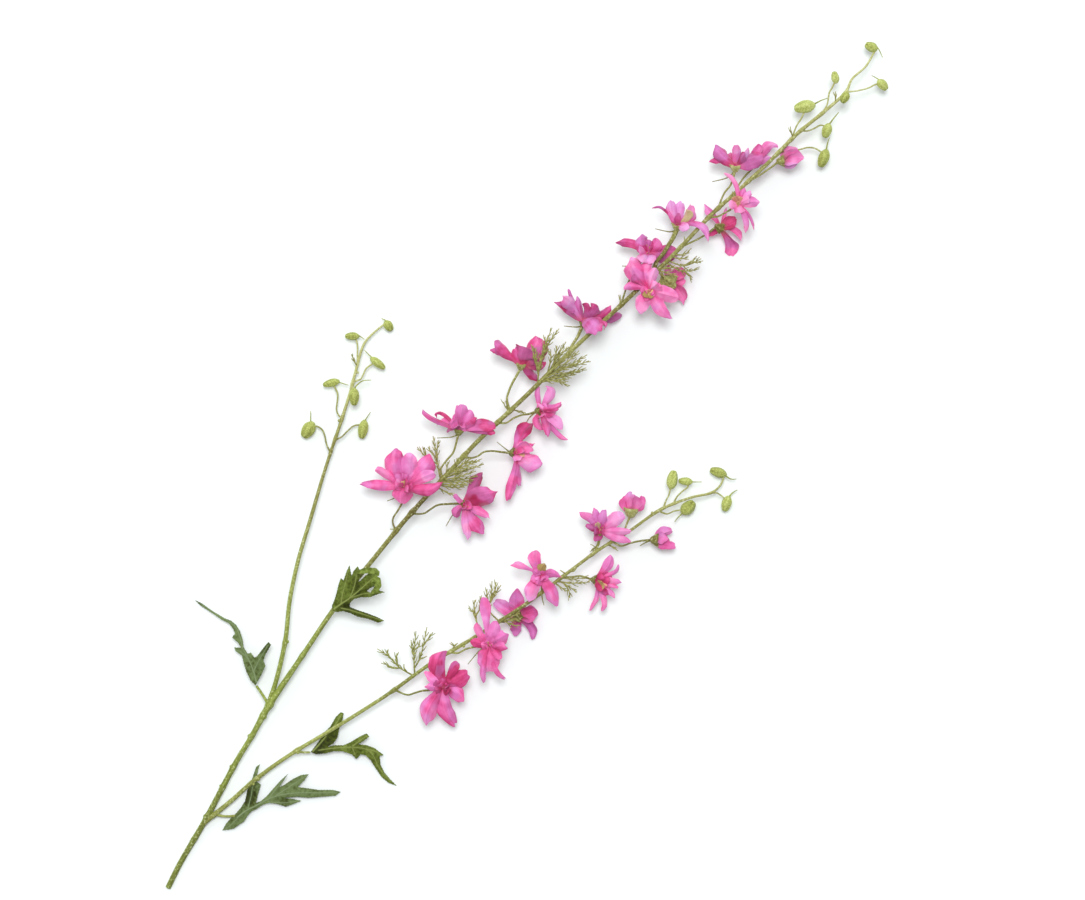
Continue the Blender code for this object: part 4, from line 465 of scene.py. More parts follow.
# %% Lobed leaves and their stalks
Leaf = namedtuple("Leaf", "name outline ribs flaps")
Petiole = namedtuple("Petiole", "stem route radius")
LEAVES = [
    Leaf("upper_leaf", [
        (333, 611), (332, 606), (335, 599), (337, 592), (339, 584), (341, 578), (344, 580), (347, 571),
        (350, 565), (351, 571), (352, 576), (354, 571), (358, 566), (361, 571), (359, 582), (365, 576),
        (371, 572), (376, 575), (377, 581), (375, 586), (370, 588), (367, 591), (372, 593), (378, 590),
        (385, 592), (378, 594), (370, 597), (361, 597), (354, 599), (350, 603), (350, 607), (357, 610),
        (366, 613), (376, 617), (384, 621), (378, 623), (368, 619), (358, 617), (350, 613), (343, 611),
        (337, 612)],
        [[(334, 609, 21.6), (341, 604, 24), (350, 598, 27), (362, 588, 30), (374, 577, 33)],
         [(341, 604, 24), (343, 593, 26), (346, 582, 28), (349, 568, 31)],
         [(350, 598, 27), (355, 585, 30), (358, 568, 33)],
         [(350, 598, 27), (362, 594, 27), (372, 593, 26), (384, 592, 24)],
         [(341, 608, 22.5), (350, 610, 21), (362, 614, 17), (383, 621, 11)]],
        [[(372, 576, 33), (377, 572, 36), (369, 570, 38), (357, 572, 37)],
         [(373, 578, 33), (378, 580, 36), (378, 587, 35), (372, 593, 31)]]),
    Leaf("side_leaf", [
        (255, 686), (261, 675), (265, 666), (263, 661), (265, 655), (271, 645), (268, 642), (263, 648),
        (257, 656), (254, 658), (250, 653), (247, 654), (243, 648), (242, 640), (239, 631), (235, 625),
        (230, 621), (222, 618), (214, 613.5), (208, 609), (201, 604), (193, 600), (199, 606), (206, 610.5),
        (213, 615), (221, 620.5), (228, 624), (232, 629), (234, 634), (231, 638), (237, 643), (240, 648),
        (233, 648), (235, 652), (241, 656), (243, 664), (246, 673), (250, 681)],
        [[(256, 683, 11), (253, 672, 10), (248, 660, 9), (242, 649, 8)],
         [(242, 649, 8), (240, 640, 8), (235, 628, 7), (225, 620, 6), (212, 612, 5), (199, 604, 3)],
         [(253, 672, 10), (259, 660, 12), (268, 645, 15)], [(248, 660, 9), (241, 653, 7), (234, 650, 6)]],
        []),
    Leaf("middle_leaf", [
        (310, 753), (316, 745), (321, 738), (325, 732), (330, 727), (335, 718), (340, 713), (343, 714),
        (342, 720), (339, 728), (337, 738), (333, 744), (326, 748), (334, 746), (343, 746), (350, 743),
        (358, 738), (366, 734), (369, 737), (364, 741), (358, 745), (366, 746), (374, 749), (383, 756),
        (379, 757), (380, 766), (384, 774), (390, 781), (396, 787), (388, 784), (381, 778), (375, 769),
        (370, 761), (365, 756), (360, 755), (356, 760), (351, 755), (342, 752), (333, 752), (325, 754),
        (316, 755)],
        [[(312, 752, 8), (318, 746, 8), (327, 735, 8), (335, 725, 7.5), (341, 715, 7)],
         [(318, 751, 8), (333, 749, 8), (350, 748, 8), (365, 750, 7), (373, 757, 6), (379, 770, 4),
          (391, 783, 2)],
         [(352, 747, 8), (360, 741, 9), (367, 736, 10)], [(365, 750, 7), (374, 752, 6), (381, 756, 5)],
         [(352, 749, 7.5), (355, 757, 6)]],
        []),
    Leaf("low_leaf", [
        (234, 815.5), (229, 820), (224.5, 825.5), (221, 832), (228, 831), (233, 830), (238, 826), (243, 823),
        (246, 818), (250, 813), (256, 810), (262, 806), (268, 804), (276, 805), (285, 808), (293, 805),
        (301, 802), (292, 800), (283, 799), (295, 798), (308, 799), (322, 798), (335, 797), (340, 793),
        (332, 791), (318, 791), (305, 789), (297, 788), (304, 781), (308, 775), (300, 776), (292, 780),
        (283, 786), (279, 788), (284, 780), (288, 774), (280, 781), (272, 790), (266, 797), (260, 802),
        (255, 804), (257, 796), (260, 786), (255, 782), (257, 772), (259, 765), (255, 768), (252, 777),
        (249, 786), (246, 792), (244, 802), (240, 808.5)],
        [[(236, 819, 4.2), (245, 812, 4.4), (255, 807, 4.6), (266, 801, 5.5), (280, 796, 6), (300, 794, 5),
          (320, 794, 4), (337, 794, 2.5)],
         [(245, 812, 4.4), (236, 820, 4), (229, 827, 3), (223, 831, 2)],
         [(247, 809, 4.2), (250, 798, 3.4), (252, 786, 2.6), (257, 769, 3.5)],
         [(268, 800, 5.5), (276, 789, 7), (286, 776, 8)], [(276, 796, 6), (290, 787, 6), (305, 777, 5)],
         [(268, 803, 5.5), (283, 804, 4), (298, 802, 3)]],
        []),
]
# Patches painted darker or lighter on each blade: partly the leaves' own greens and partly painted shade and
# light.
Shade = namedtuple("Shade", "across down reach shift")
LEAF_SHADES = {
    "upper_leaf": [Shade(348, 608, 9, -0.46), Shade(357, 583, 7, -0.32), Shade(359, 595, 7, -0.30),
                   Shade(366, 615, 9, -0.30), Shade(379, 620, 7, -0.18), Shade(343, 592, 6, 0.06)],
    "side_leaf": [Shade(268, 649, 9, -0.36), Shade(250, 668, 9, -0.20), Shade(259, 682, 7, -0.20),
                  Shade(198, 604, 6, -0.20), Shade(216, 615, 8, 0.12)],
    "middle_leaf": [Shade(317, 750, 10, -0.50), Shade(328, 740, 8, -0.34), Shade(335, 733, 6, -0.20),
                    Shade(356, 754, 7, -0.20), Shade(378, 764, 7, -0.10), Shade(345, 748, 6, 0.08)],
    "low_leaf": [Shade(248, 798, 10, -0.56), Shade(253, 776, 6, -0.10), Shade(284, 804, 9, -0.22),
                 Shade(234, 820, 9, -0.18), Shade(290, 781, 7, -0.14), Shade(266, 799, 8, 0.14),
                 Shade(312, 790, 8, -0.10)],
}
PETIOLES = [
    Petiole("main_stem", [(267, 705, 12.5), (262, 695, 12.2), (256, 686.5, 11.2)], 1.2),
    Petiole("flower_shoot", [(296, 752, 10), (303, 753, 8.8), (309.5, 753, 8)], 1.0),
    Petiole("flower_shoot", [(214, 816, 5.0), (224, 817.5, 4.6), (234, 817, 4.3)], 1.1),
]
print("lobed leaves:", [leaf.name for leaf in LEAVES])

# %% [markdown]
# ## A mould for thin and round forms
#
# Petals, stems and leaves could each be sculpted, or grown with modifiers from curves. Here most of
# them follow a few rules and differ in their numbers, so it is simplest to lay their corners down
# in rows and to paint values on the corners at the same time. `Mould` collects corners and faces.
# Each corner also takes a place on a chart (its UV), a tone and a mark, which the materials read
# later. The mark tells a petal's back from its front, a leaf's vein from its blade and a bud's
# groove from its ridge, and on a stem it is the share of dry olive.

# %% The mould
def set_out(name, data):
    """New object in the scene with a mesh, a lamp or a camera."""
    found = bpy.data.objects.new(name, data)
    bpy.context.scene.collection.objects.link(found)
    return found


class Mould:
    """Corners, faces and painted values of one piece while it is made."""

    def __init__(self):
        self.corners = []
        self.faces = []
        self.chart = []
        self.tones = []
        self.marks = []

    def corner(self, point, chart=(0.0, 0.0), tone=0.5, mark=0.0):
        """Adds a corner, never below the table, and returns its number."""
        self.corners.append((point.x, point.y, max(point.z, 0.0)))
        self.chart.append(chart)
        self.tones.append(tone)
        self.marks.append(mark)
        return len(self.corners) - 1

    def band(self, low, high, closed=True):
        """Faces between two rows of corners; a row of one corner is a point."""
        count = max(len(low), len(high))
        for side in range(count if closed else count - 1):
            after = (side + 1) % count
            ring = [low[side % len(low)], low[after % len(low)],
                    high[after % len(high)], high[side % len(high)]]
            self.faces.append(list(dict.fromkeys(ring)))

    def sheet(self, rows):
        """Closed thin body over rows of corners, each row with a front and a back."""
        for near, far in zip(rows, rows[1:]):
            for face in (0, 1):
                self.band(near[face], far[face], closed=False)
            for edge in (0, -1):
                self.faces.append([near[0][edge], near[1][edge], far[1][edge], far[0][edge]])
        for end in (rows[0], rows[-1]):
            self.band(end[0], end[1], closed=False)

    def cast(self, name, material, sharp_angle=40.0):
        """Object with the mould's mesh, faces outwards and its values painted on."""
        mesh = bpy.data.meshes.new(name)
        mesh.from_pydata(self.corners, [], self.faces)
        chart = mesh.uv_layers.new(name="chart")
        for loop in mesh.loops:
            chart.data[loop.index].uv = self.chart[loop.vertex_index]
        for title, values in (("tone", self.tones), ("mark", self.marks)):
            painted = mesh.attributes.new(title, "FLOAT", "POINT")
            painted.data.foreach_set("value", values)
        turned_out = bmesh.new()
        turned_out.from_mesh(mesh)
        bmesh.ops.recalc_face_normals(turned_out, faces=turned_out.faces)
        turned_out.to_mesh(mesh)
        turned_out.free()
        mesh.shade_smooth()
        mesh.set_sharp_from_angle(angle=math.radians(sharp_angle))
        mesh.materials.append(material)
        return set_out(name, mesh)


print("a mould paints:", [key for key in vars(Mould()) if key != "faces"])

# %% [markdown]
# ## Lines that run smoothly through their points
#
# A stem or a stalk bends without corners. A Catmull-Rom line passes through every given point and
# leaves each one in the direction of its neighbours, so the route lists can stay short. The same
# function carries radius and tone along, since they change along the stem just as its place does.

# %% Smooth lines and tubes
CHART_UNIT = 0.01
END_BULGE = 0.35


def smooth_line(rows, spacing):
    """Rows of numbers along a smooth line through the given rows; the first three are the place."""
    rows = np.array(rows, float)
    found = []
    for index in range(len(rows) - 1):
        before = rows[max(index - 1, 0)]
        start = rows[index]
        end = rows[index + 1]
        after = rows[min(index + 2, len(rows) - 1)]
        steps = max(1, round(np.linalg.norm((end - start)[:3]) / spacing))
        for step in range(steps):
            share = step / steps
            found.append(0.5 * (2 * start + (end - before) * share
                                + (2 * before - 5 * start + 4 * end - after) * share ** 2
                                + (3 * start - before - 3 * end + after) * share ** 3))
    found.append(rows[-1])
    return np.array(found)


def smooth_skin(distance, angle):
    """A tube with no relief."""
    return 1.0


def tube(mould, line, sides, relief=smooth_skin):
    """Closed tube along rows of place, radius and tone, with rounded-off ends."""
    points = [Vector(row[:3]) for row in line]
    distance = 0.0
    side = None
    rings = []
    for index, point in enumerate(points):
        ahead = (points[min(index + 1, len(points) - 1)] - points[max(index - 1, 0)]).normalized()
        if side is None:
            side = ahead.cross(Vector((0.0, 0.02, 1.0)))
        side = (side - ahead * side.dot(ahead)).normalized()
        up = side.cross(ahead)
        if index:
            distance += (point - points[index - 1]).length
        ring = []
        for count in range(sides):
            angle = 2 * math.pi * count / sides
            out = side * math.cos(angle) + up * math.sin(angle)
            radius = line[index][3] * relief(distance, angle)
            chart = (1 - abs(2 * count / sides - 1), distance / CHART_UNIT)
            ring.append(mould.corner(point + out * radius, chart, line[index][4]))
        rings.append(ring)
        if index in (0, len(points) - 1):
            outward = ahead * (-1 if index == 0 else 1)
            tip = mould.corner(point + outward * END_BULGE * line[index][3],
                               (0.5, distance / CHART_UNIT), line[index][4])
            rings.insert(0 if index == 0 else len(rings), [tip])
    for low, high in zip(rings, rings[1:]):
        mould.band(low, high)


def round_form(mould, base, axis, profile, sides, tone, lobes=0, depth=0.0):
    """Closed round form along an axis from (distance, radius) pairs, with lobes round it."""
    axis = axis.normalized()
    side = axis.cross(Vector((0.2, 0.3, 1))).normalized()
    up = axis.cross(side)
    rings = []
    for place_along, radius in profile:
        centre = base + axis * place_along
        share = (place_along - profile[0][0]) / (profile[-1][0] - profile[0][0])
        if radius == 0:
            rings.append([mould.corner(centre, (0.5, share), tone)])
            continue
        ring = []
        for count in range(sides):
            angle = 2 * math.pi * count / sides
            wide = radius * (1 + depth * share * math.cos(lobes * angle))
            out = side * math.cos(angle) + up * math.sin(angle)
            groove = 0.5 - 0.5 * math.cos(lobes * angle)
            chart = (1 - abs(2 * count / sides - 1), share)
            ring.append(mould.corner(centre + out * wide, chart, tone, groove * share))
        rings.append(ring)
    for low, high in zip(rings, rings[1:]):
        mould.band(low, high)


bud_shoot_rows = [(*place(across, down, height), radius, tone)
                  for across, down, height, radius, tone in BUD_SHOOT.route]
print("rows of a smooth line of the bud shoot:", len(smooth_line(bud_shoot_rows, 2.5 * MM)))

# %% [markdown]
# ## Stem skins
#
# The skin of a stem holds everything that is green and of one growth with it: the ribbed stem, the
# swellings where something leaves it, the pedicels, the cup behind each bloom and its spur. The
# stem swells at each of these places, as a real one does at its nodes. On a sculpted model these
# would be pushed out by hand; here the places are known, so the relief is a small function of the
# distance along the stem and the angle round it.

# %% Helpers for what grows on a stem
GAP = 0.3 * MM
PEDICEL_RADIUS = 0.85 * MM
SPUR_RADIUS = 0.75 * MM
CALYX_RADIUS = 3.5 * MM
CALYX_LENGTH = 3.4 * MM
CALYX_REACH = 5.9 * MM
STEM_SPACING = 2.2 * MM
STALK_SPACING = 1.4 * MM
STEM_SIDES = 18
CUP_SIDES = 20
RIBS = 7
RIB_RELIEF = 0.035
WANDER_RELIEF = 0.03
WANDER_ALONG = 11 * MM
WANDER_ROUND = 20 * MM
NODE_REACH = 9 * MM
NODE_WIDTH = 2.8 * MM
ROOT_SWELLING = 0.26
NUB_SWELLING = 0.12
LOBES = 5
CUP_LOBE_DEPTH = 0.16
SPUR_TONE = 0.34
CUP_TONE = 0.30
NUB_REACH = 1.6 * MM
NUB_LIGHT = 0.08
NUB_PROFILE = [(0.0, 0.0), (0.2, 1.1), (1.1, 1.0), (1.5, 0.55), (1.6, 0.0)]
CUP_PROFILE = [(0.0, 0.0), (0.01, 0.34), (0.12, 0.50), (0.35, 0.68), (0.62, 0.86), (0.86, 1.0),
               (1.0, 0.98), (0.80, 0.0)]
PEDICEL_SLIM = 0.86
PEDICEL_END = 0.24
PEDICEL_FOOT = 0.35
SPUR_TAPER = 0.62
LEAF_STALK_TAPER = (1.15, 0.9, 0.9)
LEAF_STALK_TONES = (0.56, 0.58, 0.50)
BUD_PEDICEL_TONE = 0.70
SLIMNESS = 0.84
CUP_SIZES = {"main_bloom_02": 1.4, "main_bloom_03": 1.3, "main_bloom_07": 2.15, "main_bloom_08": 1.3,
             "main_bloom_09": 1.15, "main_bloom_11": 1.4, "main_bloom_13": 1.2, "main_bloom_14": 1.25,
             "main_bloom_15": 1.2, "side_bloom_03": 1.2, "side_bloom_05": 1.1, "side_bloom_07": 1.85,
             "side_bloom_08": 1.45}
CUP_TONES = {"main_bloom_02": 0.44, "main_bloom_03": 0.60, "main_bloom_07": 0.56, "main_bloom_08": 0.62,
             "main_bloom_11": 0.78, "main_bloom_13": 0.50, "side_bloom_07": 0.72}
PEDICEL_SIZES = {"main_bloom_03": 1.2, "main_bloom_04": 1.6, "main_bloom_08": 2.2}
DRY_SHARES = {"flower_shoot": 0.55}


def nearest_on(lines, point):
    """Point of some polylines that lies nearest to a point seen from above, with its distance."""
    best = None
    for line in lines:
        for start, end in zip(line, line[1:]):
            run = end - start
            share = (point - start).xy.dot(run.xy) / max(run.xy.length_squared, 1e-12)
            found = start + run * min(max(share, 0.0), 1.0)
            distance = (found - point).xy.length
            if best is None or distance < best[0]:
                best = (distance, found)
    return best[1], best[0]


def with_heights(route, start, end):
    """Points from start through a route to end; those with no height take it along the way."""
    points = [start] + [place(*entry) for entry in route] + [end]
    known = [True] + [len(entry) == 3 for entry in route] + [True]
    lengths = [0.0]
    for first, second in zip(points, points[1:]):
        lengths.append(lengths[-1] + (second - first).xy.length)
    anchors = [index for index, sure in enumerate(known) if sure]
    for low, high in zip(anchors, anchors[1:]):
        for index in range(low + 1, high):
            share = (lengths[index] - lengths[low]) / (lengths[high] - lengths[low])
            points[index].z = points[low].z + (points[high].z - points[low].z) * share
    return points


def facing_of(bloom):
    """The way a bloom's face looks."""
    return turned(*bloom.facing).normalized()


def centre_line(stem):
    """Middle points of a stem."""
    return [place(*entry[:3]) for entry in stem.route]


def tone_near(stem, point):
    """Tone of a stem's skin where a point lies nearest to it."""
    nearest = min(stem.route, key=lambda entry: (place(*entry[:2]).xy - point.xy).length)
    return nearest[4]


def stalk(mould, points, radii, tones, sides=8):
    """Smooth thin tube through points."""
    rows = [(*point, radius, tone) for point, radius, tone in zip(points, radii, tones)]
    tube(mould, smooth_line(rows, STALK_SPACING), sides)


def pedicel(mould, stem, route, end, end_tone, radius):
    """Stalk from a stem's middle to a cup or a bud, stouter at both ends, and toned at its end."""
    start, _ = nearest_on([centre_line(stem)], place(*route[0]))
    points = with_heights(route[1:], start, end)
    count = len(points) - 1
    tone = tone_near(stem, start)
    radii = [radius * (PEDICEL_SLIM + PEDICEL_END * (index / count) ** 3 + PEDICEL_FOOT * (index == 0))
             for index in range(count + 1)]
    tones = [tone + (end_tone - tone) * (index / count) ** 2 for index in range(count + 1)]
    stalk(mould, points, radii, tones)


def spur(mould, start, route, drop, tone):
    """Thin tail behind a cup or a bud, narrowing to its end."""
    points = [start]
    for across, down, *height in route:
        points.append(place(across, down, height[0] if height else points[-1].z / MM + drop))
    count = len(points) - 1
    radii = [SPUR_RADIUS * (1 - SPUR_TAPER * index / count) for index in range(count + 1)]
    stalk(mould, points, radii, [tone] * (count + 1), 6)


print("one cup is", CALYX_LENGTH / MM, "mm long")

# %% The skins
def skin_relief(swellings):
    """Relief of a stem: fine ribs, a slow wander in thickness, and a swelling at each node."""
    def relief(distance, angle):
        ribs = RIB_RELIEF * math.cos(RIBS * angle)
        wander = WANDER_RELIEF * math.sin(distance / WANDER_ALONG)
        value = 1 + ribs + wander * math.cos(angle + distance / WANDER_ROUND)
        for middle, height in swellings:
            if abs(distance - middle) < NODE_REACH:
                value += height * math.exp(-((distance - middle) / NODE_WIDTH) ** 2)
        return value
    return relief


def distance_along(line, point):
    """Distance along a smooth line to its place nearest to a point."""
    steps = np.linalg.norm(np.diff(line[:, :3], axis=0), axis=1)
    near = np.argmin(np.linalg.norm(line[:, :2] - np.array(point.xy), axis=1))
    return float(steps[:near].sum())


def roots_on(stem):
    """Places on a stem from which something grows."""
    roots = [bloom.pedicel[0] for bloom in BLOOMS if bloom.stem == stem.name]
    roots += [bud.pedicel[0] for bud in BUDS if bud.stem == stem.name and bud.pedicel]
    roots += [stalk_of.route[0] for stalk_of in PETIOLES if stalk_of.stem == stem.name]
    return [place(*root) for root in roots]


def stem_skin(stem):
    """Mould of a stem with its nodes, nubs, pedicels, cups, spurs and leaf stalks."""
    mould = Mould()
    rows = [(*place(across, down, height), radius * MM * SLIMNESS, tone)
            for across, down, height, radius, tone in stem.route]
    line = smooth_line(rows, STEM_SPACING)
    swellings = [(distance_along(line, root), ROOT_SWELLING) for root in roots_on(stem)]
    swellings += [(distance_along(line, place(across, down)), NUB_SWELLING * size)
                  for across, down, size in stem.nubs]
    tube(mould, line, STEM_SIDES, skin_relief(swellings))
    middle = centre_line(stem)
    for across, down, size in stem.nubs:
        beside = place(across, down)
        root, _ = nearest_on([middle], beside)
        away = Vector((*(beside - root).xy, 0.4 * MM)).normalized()
        profile = [(along * MM, wide * size * MM) for along, wide in NUB_PROFILE]
        round_form(mould, root + away * NUB_REACH, away, profile, 8, tone_near(stem, root) + NUB_LIGHT)
    for bloom in BLOOMS:
        if bloom.stem == stem.name:
            cup_with_stalk(mould, stem, bloom)
    for bud in BUDS:
        if bud.stem == stem.name and bud.pedicel:
            base = place(*bud.base, bud.height)
            inward = (place(*bud.tip, bud.height) - base) * 0.15
            pedicel(mould, stem, bud.pedicel, base + inward, BUD_PEDICEL_TONE, 0.85 * PEDICEL_RADIUS)
    for leaf_stalk in PETIOLES:
        if leaf_stalk.stem == stem.name:
            points = [place(*entry) for entry in leaf_stalk.route]
            points[0], _ = nearest_on([middle], points[0])
            radii = [leaf_stalk.radius * MM * factor for factor in LEAF_STALK_TAPER]
            stalk(mould, points, radii, LEAF_STALK_TONES)
    mould.marks = [DRY_SHARES.get(stem.name, 0.0)] * len(mould.corners)
    return mould


def cup_with_stalk(mould, stem, bloom):
    """Green cup behind a bloom with its pedicel and its spur."""
    seat = place(*bloom.seat)
    facing = facing_of(bloom)
    back = seat - facing * (GAP + CALYX_LENGTH)
    size = CUP_SIZES.get(bloom.name, 1.0)
    profile = [(along * CALYX_REACH * size ** 0.5, wide * CALYX_RADIUS * size) for along, wide in CUP_PROFILE]
    tone = CUP_TONES.get(bloom.name, CUP_TONE)
    round_form(mould, back, facing, profile, CUP_SIDES, tone, LOBES, CUP_LOBE_DEPTH)
    radius = PEDICEL_RADIUS * PEDICEL_SIZES.get(bloom.name, 1.0)
    pedicel(mould, stem, bloom.pedicel, seat - facing * (GAP + 0.55 * CALYX_LENGTH), 0.8 * tone, radius)
    if bloom.spur:
        spur(mould, back + facing * 0.4 * CALYX_LENGTH, bloom.spur, 0.5, SPUR_TONE)


skins = {stem.name: stem_skin(stem) for stem in STEMS}
print("corners of the skins:", {name: len(mould.corners) for name, mould in skins.items()})

# %% [markdown]
# ## Buds
#
# A bud is egg-shaped, with five folded sepals whose edges meet in grooves and gather in a blunt,
# puckered tip. A turned profile with five lobes that deepen towards the tip gives that form, and
# keeps it closed. The same mould takes the spurs of the buds.

# %% Buds of a stem
BUD_SIDES = 20
BUD_LOBE_DEPTH = 0.13
BUD_TONES = (0.42, 0.66)
BUD_SPUR_TONE = 0.3
BUD_PROFILE = [(-0.08, 0.0), (-0.07, 0.28), (0.06, 0.66), (0.22, 0.93), (0.42, 1.0), (0.60, 0.94),
               (0.76, 0.80), (0.88, 0.66), (0.97, 0.52), (1.03, 0.30), (0.99, 0.0)]


def bud_forms(stem):
    """Mould of all the buds on a stem."""
    mould = Mould()
    chance = random.Random(stem.name)
    for bud in BUDS:
        if bud.stem != stem.name:
            continue
        base = place(*bud.base, bud.height)
        axis = place(*bud.tip, bud.height) - base
        radius = bud.width * STEP / 2
        tone = chance.uniform(*BUD_TONES)
        profile = [(along * axis.length, wide * radius) for along, wide in BUD_PROFILE]
        round_form(mould, base, axis, profile, BUD_SIDES, tone, LOBES, BUD_LOBE_DEPTH)
        if bud.spur:
            spur(mould, base + axis * 0.1, bud.spur, 0.3, BUD_SPUR_TONE)
    return mould


buds = {stem.name: bud_forms(stem) for stem in STEMS}
print("corners of the buds:", {name: len(mould.corners) for name, mould in buds.items()})

# %% [markdown]
# ## Petals
#
# A petal leaves the heart as a narrow claw, bends outwards and widens. Its middle line is a cubic
# curve with four controls, which also rule the solid, so both stay together. A net of corners is
# laid over that line. The cut of the petal gives its width and how far the corners of its tip fall
# back. A cup, a fold along the middle, a twist, ruffled edges and a soft crumple lift the net along
# its normal. The petal gets a front and a back, closed at the edge, so it is a real thin body.

# %% The form of a petal
ROOT_DEPTH = 1.1 * MM
ROOT_STEP = 0.2 * MM
PETAL_ROWS = 16
PETAL_COLUMNS = 12
PETAL_SHEET = 0.34 * MM
CRUMPLE_SIZE = 5.4 * MM
CRUMPLE_DEPTH = 0.12
EDGE_WANDER = 0.22
TIP_WANDER = 0.055
ROOT_SHADE = 0.18
STEEP = 0.12
CLAW_OUT = 0.20
CLAW_UP = 0.16
BEND_PLACE = 0.62
BEND_UP = 0.14
SAP_SHARE = 0.6
TONE_SHIFT = 0.03
WIDTH_EASE = 1.7
CREST_WAVES = 5.2
TIP_NOISE = 2.3
EDGE_NOISE = 3.4
NOISE_ROW = 9.5
EDGE_ROW = 4.5
WOBBLE_WAVES = 7
CURL_FROM = 0.45
FOLD_WIDTH = 0.2
EDGE_THINNING = 0.45
LEAST_HEIGHT = 0.9 * PETAL_SHEET
VIA_SHARE = 0.55
VIA_PULL = 0.575
FLATNESS = 0.6
RUFFLE_RANGES = {"depth": (0.07, 0.14), "waves": (1.2, 2.4), "left": (0, 6.3), "right": (0, 6.3),
                 "twist": (-0.35, 0.35), "notch": (0.0, 0.04), "wobble": (0.02, 0.08),
                 "seed": (0, 90), "cup": (0.05, 0.22), "fold": (-0.02, 0.12)}
Ruffle = namedtuple("Ruffle", RUFFLE_RANGES)


def blend(values, share):
    """Point of a cubic curve with four control values."""
    rest = 1 - share
    weights = (rest ** 3, 3 * rest ** 2 * share, 3 * rest * share ** 2, share ** 3)
    return sum((value * weight for value, weight in zip(values, weights)), values[0] * 0)


def petal_line(seat, facing, tip, order, via=None):
    """Controls of a petal's middle line, and the direction across it."""
    reach = tip - seat
    length = reach.length
    outward = reach - facing * reach.dot(facing)
    if outward.length < STEEP * length:
        outward = facing.cross(Vector((0, 0, 1))) + Vector((0, 0, 0.1))
    outward.normalize()
    out_tip = reach.dot(outward)
    fore_tip = reach.dot(facing)
    controls = [seat + facing * (ROOT_DEPTH + order * ROOT_STEP),
                seat + outward * CLAW_OUT * length + facing * CLAW_UP * length,
                seat + outward * BEND_PLACE * out_tip + facing * (BEND_PLACE * fore_tip + BEND_UP * length),
                tip]
    if via:
        aside = place(*via) - blend(controls, VIA_SHARE)
        aside.z = 0
        controls[1] += 0.5 * aside / VIA_PULL
        controls[2] += aside / VIA_PULL
    side = facing.cross(outward).normalized()
    level = Vector((-reach.y, reach.x, 0)).normalized()
    level = level if level.dot(side) > 0 else -level
    return controls, side.lerp(level, FLATNESS).normalized()


def cut_width(cut, share):
    """Share of a petal's full width at a share of its length."""
    if share < cut.fullest:
        return cut.root + (1 - cut.root) * math.sin(math.pi / 2 * (share / cut.fullest) ** cut.ease)
    return 1 - cut.narrow * ((share - cut.fullest) / (1 - cut.fullest)) ** WIDTH_EASE


def drawn_ruffle(chance):
    """The ruffle of one petal, drawn by chance."""
    return Ruffle(*[chance.uniform(low, high) for low, high in RUFFLE_RANGES.values()])


def net_point(controls, side, length, width, looks, ruffle, across, row_share):
    """Middle of the sheet at a place across (-1 to 1) and along a petal, with its normal."""
    cut = looks.cut
    edge = 1 - cut.fall * abs(across) ** cut.round
    edge += ruffle.notch * math.cos(CREST_WAVES * across + ruffle.left)
    edge -= ruffle.notch * math.cos(ruffle.left)
    edge += TIP_WANDER * noise.noise(Vector((TIP_NOISE * across, NOISE_ROW, ruffle.seed)))
    share = row_share * edge
    centre = blend(controls, share)
    ahead = blend(controls, min(share + 0.04, 1.0)) - blend(controls, max(share - 0.04, 0.0))
    normal = side.cross(ahead).normalized()
    if normal.dot(side.cross(controls[3] - controls[0])) < 0:
        normal = -normal
    phase = ruffle.left if across < 0 else ruffle.right
    wave = math.sin(2 * math.pi * ruffle.waves * share + phase)
    spread = width * cut_width(cut, share) * (1 + ruffle.wobble * math.sin(WOBBLE_WAVES * share + 2 * phase))
    beside = Vector((EDGE_NOISE * share, math.copysign(EDGE_ROW, across), ruffle.seed))
    spread *= 1 + EDGE_WANDER * noise.noise(beside)
    curl = cut.curl * length * max(0.0, (share - CURL_FROM) / (1 - CURL_FROM)) ** 2
    lift = curl + ruffle.cup * spread * (2 * across ** 2 - 0.8)
    lift -= ruffle.fold * spread * math.exp(-(across / FOLD_WIDTH) ** 2)
    lift += ruffle.depth * width * (across ** 2) * (0.25 + share) * wave
    lift += 0.5 * ruffle.twist * across * spread * share
    spot = Vector((across * width / 2, share * length, ruffle.seed * MM)) / CRUMPLE_SIZE
    lift += CRUMPLE_DEPTH * width * share * noise.noise(spot + Vector((0, 0, ruffle.seed)))
    return centre + side * across * spread / 2 + normal * lift, normal


def petal(mould, seat, facing, tip, looks, order, chance):
    """One thin petal from the heart to its tip."""
    controls, side = petal_line(seat, facing, tip, order, looks.via)
    length = (tip - seat).length
    width = looks.width * STEP / max(side.xy.length, 0.6)
    ruffle = drawn_ruffle(chance)
    tones = looks.tone if isinstance(looks.tone, tuple) else (looks.tone - ROOT_SHADE, looks.tone)
    if tones[0] < 0:
        tones = (looks.tone, looks.tone)
    sap = min(SAP_SHARE * (1 - facing.z), 1.0)
    shift = chance.uniform(-TONE_SHIFT, TONE_SHIFT)
    rows = []
    for row in range(PETAL_ROWS + 1):
        fronts = []
        backs = []
        for column in range(PETAL_COLUMNS + 1):
            across = 2 * column / PETAL_COLUMNS - 1
            middle, normal = net_point(controls, side, length, width, looks, ruffle, across, row / PETAL_ROWS)
            half = PETAL_SHEET / 2 * (1 - EDGE_THINNING * across ** 4)
            front = middle - normal * half
            back = middle + normal * half
            upper = front if front.z > back.z else back
            upper.z = max(upper.z, LEAST_HEIGHT)
            chart = ((across + 1) / 2, row / PETAL_ROWS)
            tone = tones[0] + (tones[1] - tones[0]) * row / PETAL_ROWS + shift
            fronts.append(mould.corner(front, chart, tone, sap))
            backs.append(mould.corner(back, chart, tone, 1.0))
        rows.append((fronts, backs))
    mould.sheet(rows)


